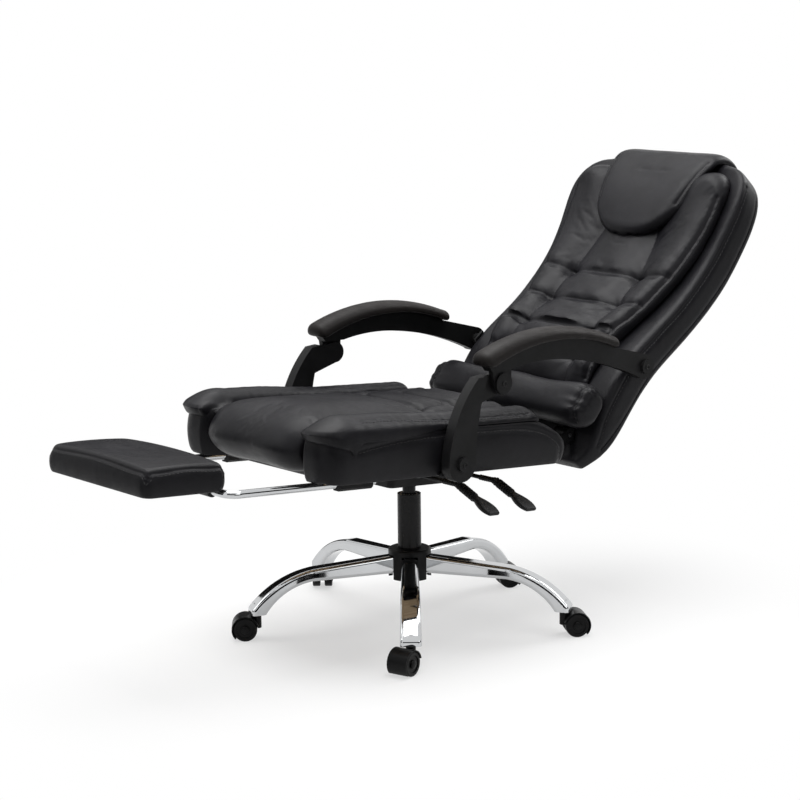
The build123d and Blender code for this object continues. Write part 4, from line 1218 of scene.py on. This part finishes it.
class ChairFrame:
    """The rigid CAD nodes, dressed in the finishes that the record names."""

    def __init__(self, shop: Workshop) -> None:
        """Keep the workshop and the record's slots."""
        self.shop = shop
        self.slots = {item["node"]: item["material_slot"] for item in frame["record"]["subparts"]}

    def dress(self) -> None:
        """Give each CAD node its material."""
        for name, thing in frame["nodes"].items():
            slot = self.slots[name]
            thing.data.materials.clear()
            thing.data.materials.append(self.shop.finish(slot))
            LOG.info("CAD node %s: %s", name, slot)


@dataclass
class Studio:
    """Pale floor, soft lamps, black cards that paint dark reflections on the chrome and leather, and the
    camera of the photograph.
    """

    azimuth: float = 49.175
    elevation: float = 10.806
    roll: float = -0.675
    distance: float = 4.50
    lens: float = 96.45
    sensor: float = 36.0
    target: Point = (-0.0109, -0.0128, 0.4852)
    floor_half: float = 14.0
    floor_colour: Colour = (0.86, 0.86, 0.86)
    card_colour: Colour = (0.01, 0.01, 0.01)
    matt: float = 0.9
    shadow_reach: Span = (0.30, 1.0)
    shadow_lift: float = 0.55
    sky_light: float = 0.16
    lamps_aim: Point = (0.0, 0.0, 0.45)
    lamps: tuple[tuple[str, Point, float, float], ...] = (
        ("top_softbox", (-0.2, 0.0, 3.0), 2.6, 130.0),
        ("key_softbox", (-1.6, -2.6, 2.6), 1.6, 16.0),
        ("side_softbox", (3.0, 0.2, 1.9), 1.4, 8.0),
        ("rear_softbox", (0.4, 3.0, 2.4), 1.6, 42.0),
    )
    # black cards seen only in glossy rays: painted dark reflections on the chrome legs and the leather
    flags: tuple[tuple[str, Point, float, float], ...] = (
        ("camera_flag", (4.5, -3.9, 1.5), 6.0, 3.0),
        ("front_flag", (-2.6, -3.6, 1.1), 2.6, 1.9),
        ("rear_flag", (3.6, 2.6, 1.2), 3.4, 2.2),
        ("far_flag", (-3.4, 1.6, 1.1), 3.0, 1.9),
        ("left_base_flag", (-0.6, -1.8, 0.30), 1.4, 0.56),
        ("right_base_flag", (1.8, -0.4, 0.30), 1.4, 0.56),
    )

    def camera(self) -> None:
        """Place the camera that the photograph was taken from."""
        a, e, r = (math.radians(v) for v in (self.azimuth, self.elevation, self.roll))
        back = Vector((math.sin(a) * math.cos(e), -math.cos(a) * math.cos(e), math.sin(e)))
        right = Vector((math.cos(a), math.sin(a), 0.0))
        up = right.cross(-back)
        right, up = math.cos(r) * right + math.sin(r) * up, -math.sin(r) * right + math.cos(r) * up
        data = bpy.data.cameras.new("photo_camera")
        data.lens, data.sensor_width = self.lens, self.sensor
        thing = bpy.data.objects.new("photo_camera", data)
        bpy.context.scene.collection.objects.link(thing)
        matrix = thing.matrix_world.to_3x3()
        matrix.col[0], matrix.col[1], matrix.col[2] = right, up, back
        thing.matrix_world = matrix.to_4x4()
        thing.location = Vector(self.target) + self.distance * back
        bpy.context.scene.camera = thing

    def lamp(self, name: str, at: Point, size: float, power: float) -> None:
        """Add one square soft lamp.

        Args:
            name: The lamp's name.
            at: Where it hangs.
            size: Length of its side.
            power: Its power in watts.
        """
        data = bpy.data.lights.new(name, "AREA")
        data.size, data.energy = size, power
        thing = bpy.data.objects.new(name, data)
        thing.location = at
        thing.rotation_mode = "QUATERNION"
        thing.rotation_quaternion = (Vector(self.lamps_aim) - Vector(at)).to_track_quat("-Z", "Y")
        bpy.context.scene.collection.objects.link(thing)

    def sheet(self, name: str, corners: Sequence[Sequence[float]], n: Nodes) -> Thing:
        """Put up one flat sheet of the stage.

        Args:
            name: The sheet's name.
            corners: Its four corners.
            n: The nodes of its material.

        Returns:
            The sheet.
        """
        mesh = bpy.data.meshes.new(name)
        mesh.from_pydata(corners, [], [(0, 1, 2, 3)])
        mesh.materials.append(n.material)
        thing = bpy.data.objects.new(name, mesh)
        bpy.context.scene.collection.objects.link(thing)
        return thing

    def flag(self, name: str, at: Point, width: float, height: float) -> None:
        """Stand a black card beside the chair, seen only in reflections, where it paints a dark reflection;
        it casts no shadow.

        Args:
            name: The card's name.
            at: Its middle.
            width: Its width.
            height: Its height.
        """
        middle = Vector(at)
        side = Vector((-middle.y, middle.x, 0.0)).normalized() * (0.5 * width)
        rise = Vector((0.0, 0.0, 0.5 * height))
        n = Nodes(name)
        n.fixed(Base_Color=(*self.card_colour, 1.0), Roughness=self.matt, Specular_IOR_Level=0.0)
        low, high = middle - rise, middle + rise
        card = self.sheet(name, [low - side, low + side, high + side, high - side], n)
        # hidden from the camera, from diffuse light and from shadows, so the card is only a painted dark
        # reflection
        card.visible_camera = card.visible_diffuse = card.visible_shadow = False

    def backdrop(self) -> None:
        """Lay the floor, which keeps the shadow near the chair and is plain white further out."""
        n = Nodes("pale_floor")
        n.fixed(Base_Color=(*self.floor_colour, 1.0), Roughness=self.matt, Specular_IOR_Level=0.0)
        length = n.add("ShaderNodeVectorMath", operation="LENGTH")
        n.join(n.coords, length.inputs[0])
        far = n.spread(length.outputs["Value"], self.shadow_lift, 1.0, self.shadow_reach)
        white_share = n.add("ShaderNodeMath", operation="MULTIPLY", use_clamp=True)
        n.join(far, white_share.inputs[0])
        n.join(self.seen(n.tree), white_share.inputs[1])
        white = n.add("ShaderNodeEmission", Color=(1.0, 1.0, 1.0, 1.0), Strength=1.0)
        mix = n.add("ShaderNodeMixShader")
        n.join(white_share.outputs[0], mix.inputs[0])
        n.join(n.shader.outputs["BSDF"], mix.inputs[1])
        n.join(white.outputs["Emission"], mix.inputs[2])
        n.join(mix.outputs["Shader"], n.output.inputs["Surface"])
        h = self.floor_half
        self.sheet("floor", [(-h, -h, 0), (h, -h, 0), (h, h, 0), (-h, h, 0)], n)

    def seen(self, tree: bpy.types.NodeTree) -> Socket:
        """One for rays from the camera, from gloss or through glass, and zero for light itself."""
        path = tree.nodes.new("ShaderNodeLightPath")
        total = path.outputs["Is Camera Ray"]
        for name in ("Is Glossy Ray", "Is Transmission Ray"):
            both = tree.nodes.new("ShaderNodeMath")
            both.operation, both.use_clamp = "ADD", True
            tree.links.new(total, both.inputs[0])
            tree.links.new(path.outputs[name], both.inputs[1])
            total = both.outputs[0]
        return total

    def sky(self) -> None:
        """A white background that lights the chair only softly."""
        world = bpy.data.worlds.new("studio")
        bpy.context.scene.world = world
        world.use_nodes = True
        tree = world.node_tree
        level = tree.nodes.new("ShaderNodeMapRange")
        level.inputs["To Min"].default_value, level.inputs["To Max"].default_value = self.sky_light, 1.0
        tree.links.new(self.seen(tree), level.inputs["Value"])
        tree.links.new(level.outputs["Result"], tree.nodes["Background"].inputs["Strength"])
        tree.nodes["Background"].inputs["Color"].default_value = (1.0, 1.0, 1.0, 1.0)

    def build(self) -> None:
        """Set up the whole studio."""
        bpy.context.scene.view_settings.view_transform = "Standard"
        self.sky()
        self.backdrop()
        for lamp in self.lamps:
            self.lamp(*lamp)
        for flag in self.flags:
            self.flag(*flag)
        self.camera()
        LOG.info("studio: %d lamps, %d cards", len(self.lamps), len(self.flags))


def upholstery(shop: Workshop) -> list[Upholstery]:
    """The padded pieces of the chair, in the order they are made."""
    tight = {"frames": 0, "shrink": 0.0}
    seat, back = ("seat", SEAT_PLACE), ("back", BACK_PLACE)
    pieces: list[Upholstery] = [
        SeatBox(shop, "seat_box_cover", "seat_base", *seat, fill=0.9, soften=16, **tight),
        SeatPad(shop, "seat_pad_cover", "seat_pad", *seat, frames=14),
        FootPad(
            shop, "footrest_cover", "footrest_pad", "footrest", SEAT_PLACE,
            voxel=0.004, fill=0.9, soften=2, **tight,
        ),
        BackShell(shop, "back_shell_cover", "back_shell", *back, fill=0.9, soften=6, **tight),
        BackCushion(shop, "back_cushion_cover", "back_cushion", *back, frames=14),
        Bolster(shop, "bolster_cover", "bolster", *back, cap=0.008),
        Headrest(shop, "headrest_cover", "headrest", *back, voxel=0.0045, soften=10, **tight),
    ]
    for hand, _ in HANDS:
        names = (f"arm_pad_skin_{hand}", f"arm_pad_{hand}", f"arm_{hand}")
        pieces.append(ArmPad(shop, *names, FLOOR_PLACE, slot="arm_pad_skin", voxel=0.004, fill=0.95, **tight))
    return pieces


def fittings(shop: Workshop) -> list[LeverBoot | FaceDisc]:
    """The small fittings that ride on the moving parts."""
    made: list[LeverBoot | FaceDisc] = [
        LeverBoot(shop, "height_lever", along=-0.035),
        LeverBoot(shop, "recline_lever", along=0.068),
    ]
    for hand, side in HANDS:
        for bolt, node in (
            ("post_bolts", "post_bolts"),
            ("elbow_bolt", f"elbow_bolt_{hand}"),
            ("arm_rear_bolts", "arm_rear_bolts"),
        ):
            made.append(SocketRim(shop, f"{bolt}_socket_{hand}", node, side=side))
    for number in range(1, 6):
        for wheel in ("a", "b"):
            node = f"caster_{number}_wheel_{wheel}"
            made.append(HubCap(shop, f"{node}_cap", node, hood=f"caster_{number}_hood"))
    return made


def main() -> None:
    """Dress the frame, pad it, add its fittings and light it."""
    logging.basicConfig(level=logging.INFO, format="%(name)s: %(message)s")
    shop = Workshop()
    ChairFrame(shop).dress()
    for pad in upholstery(shop):
        pad.build()
    for fitting in fittings(shop):
        fitting.build()
    Studio().build()


if __name__ == "__main__":
    main()
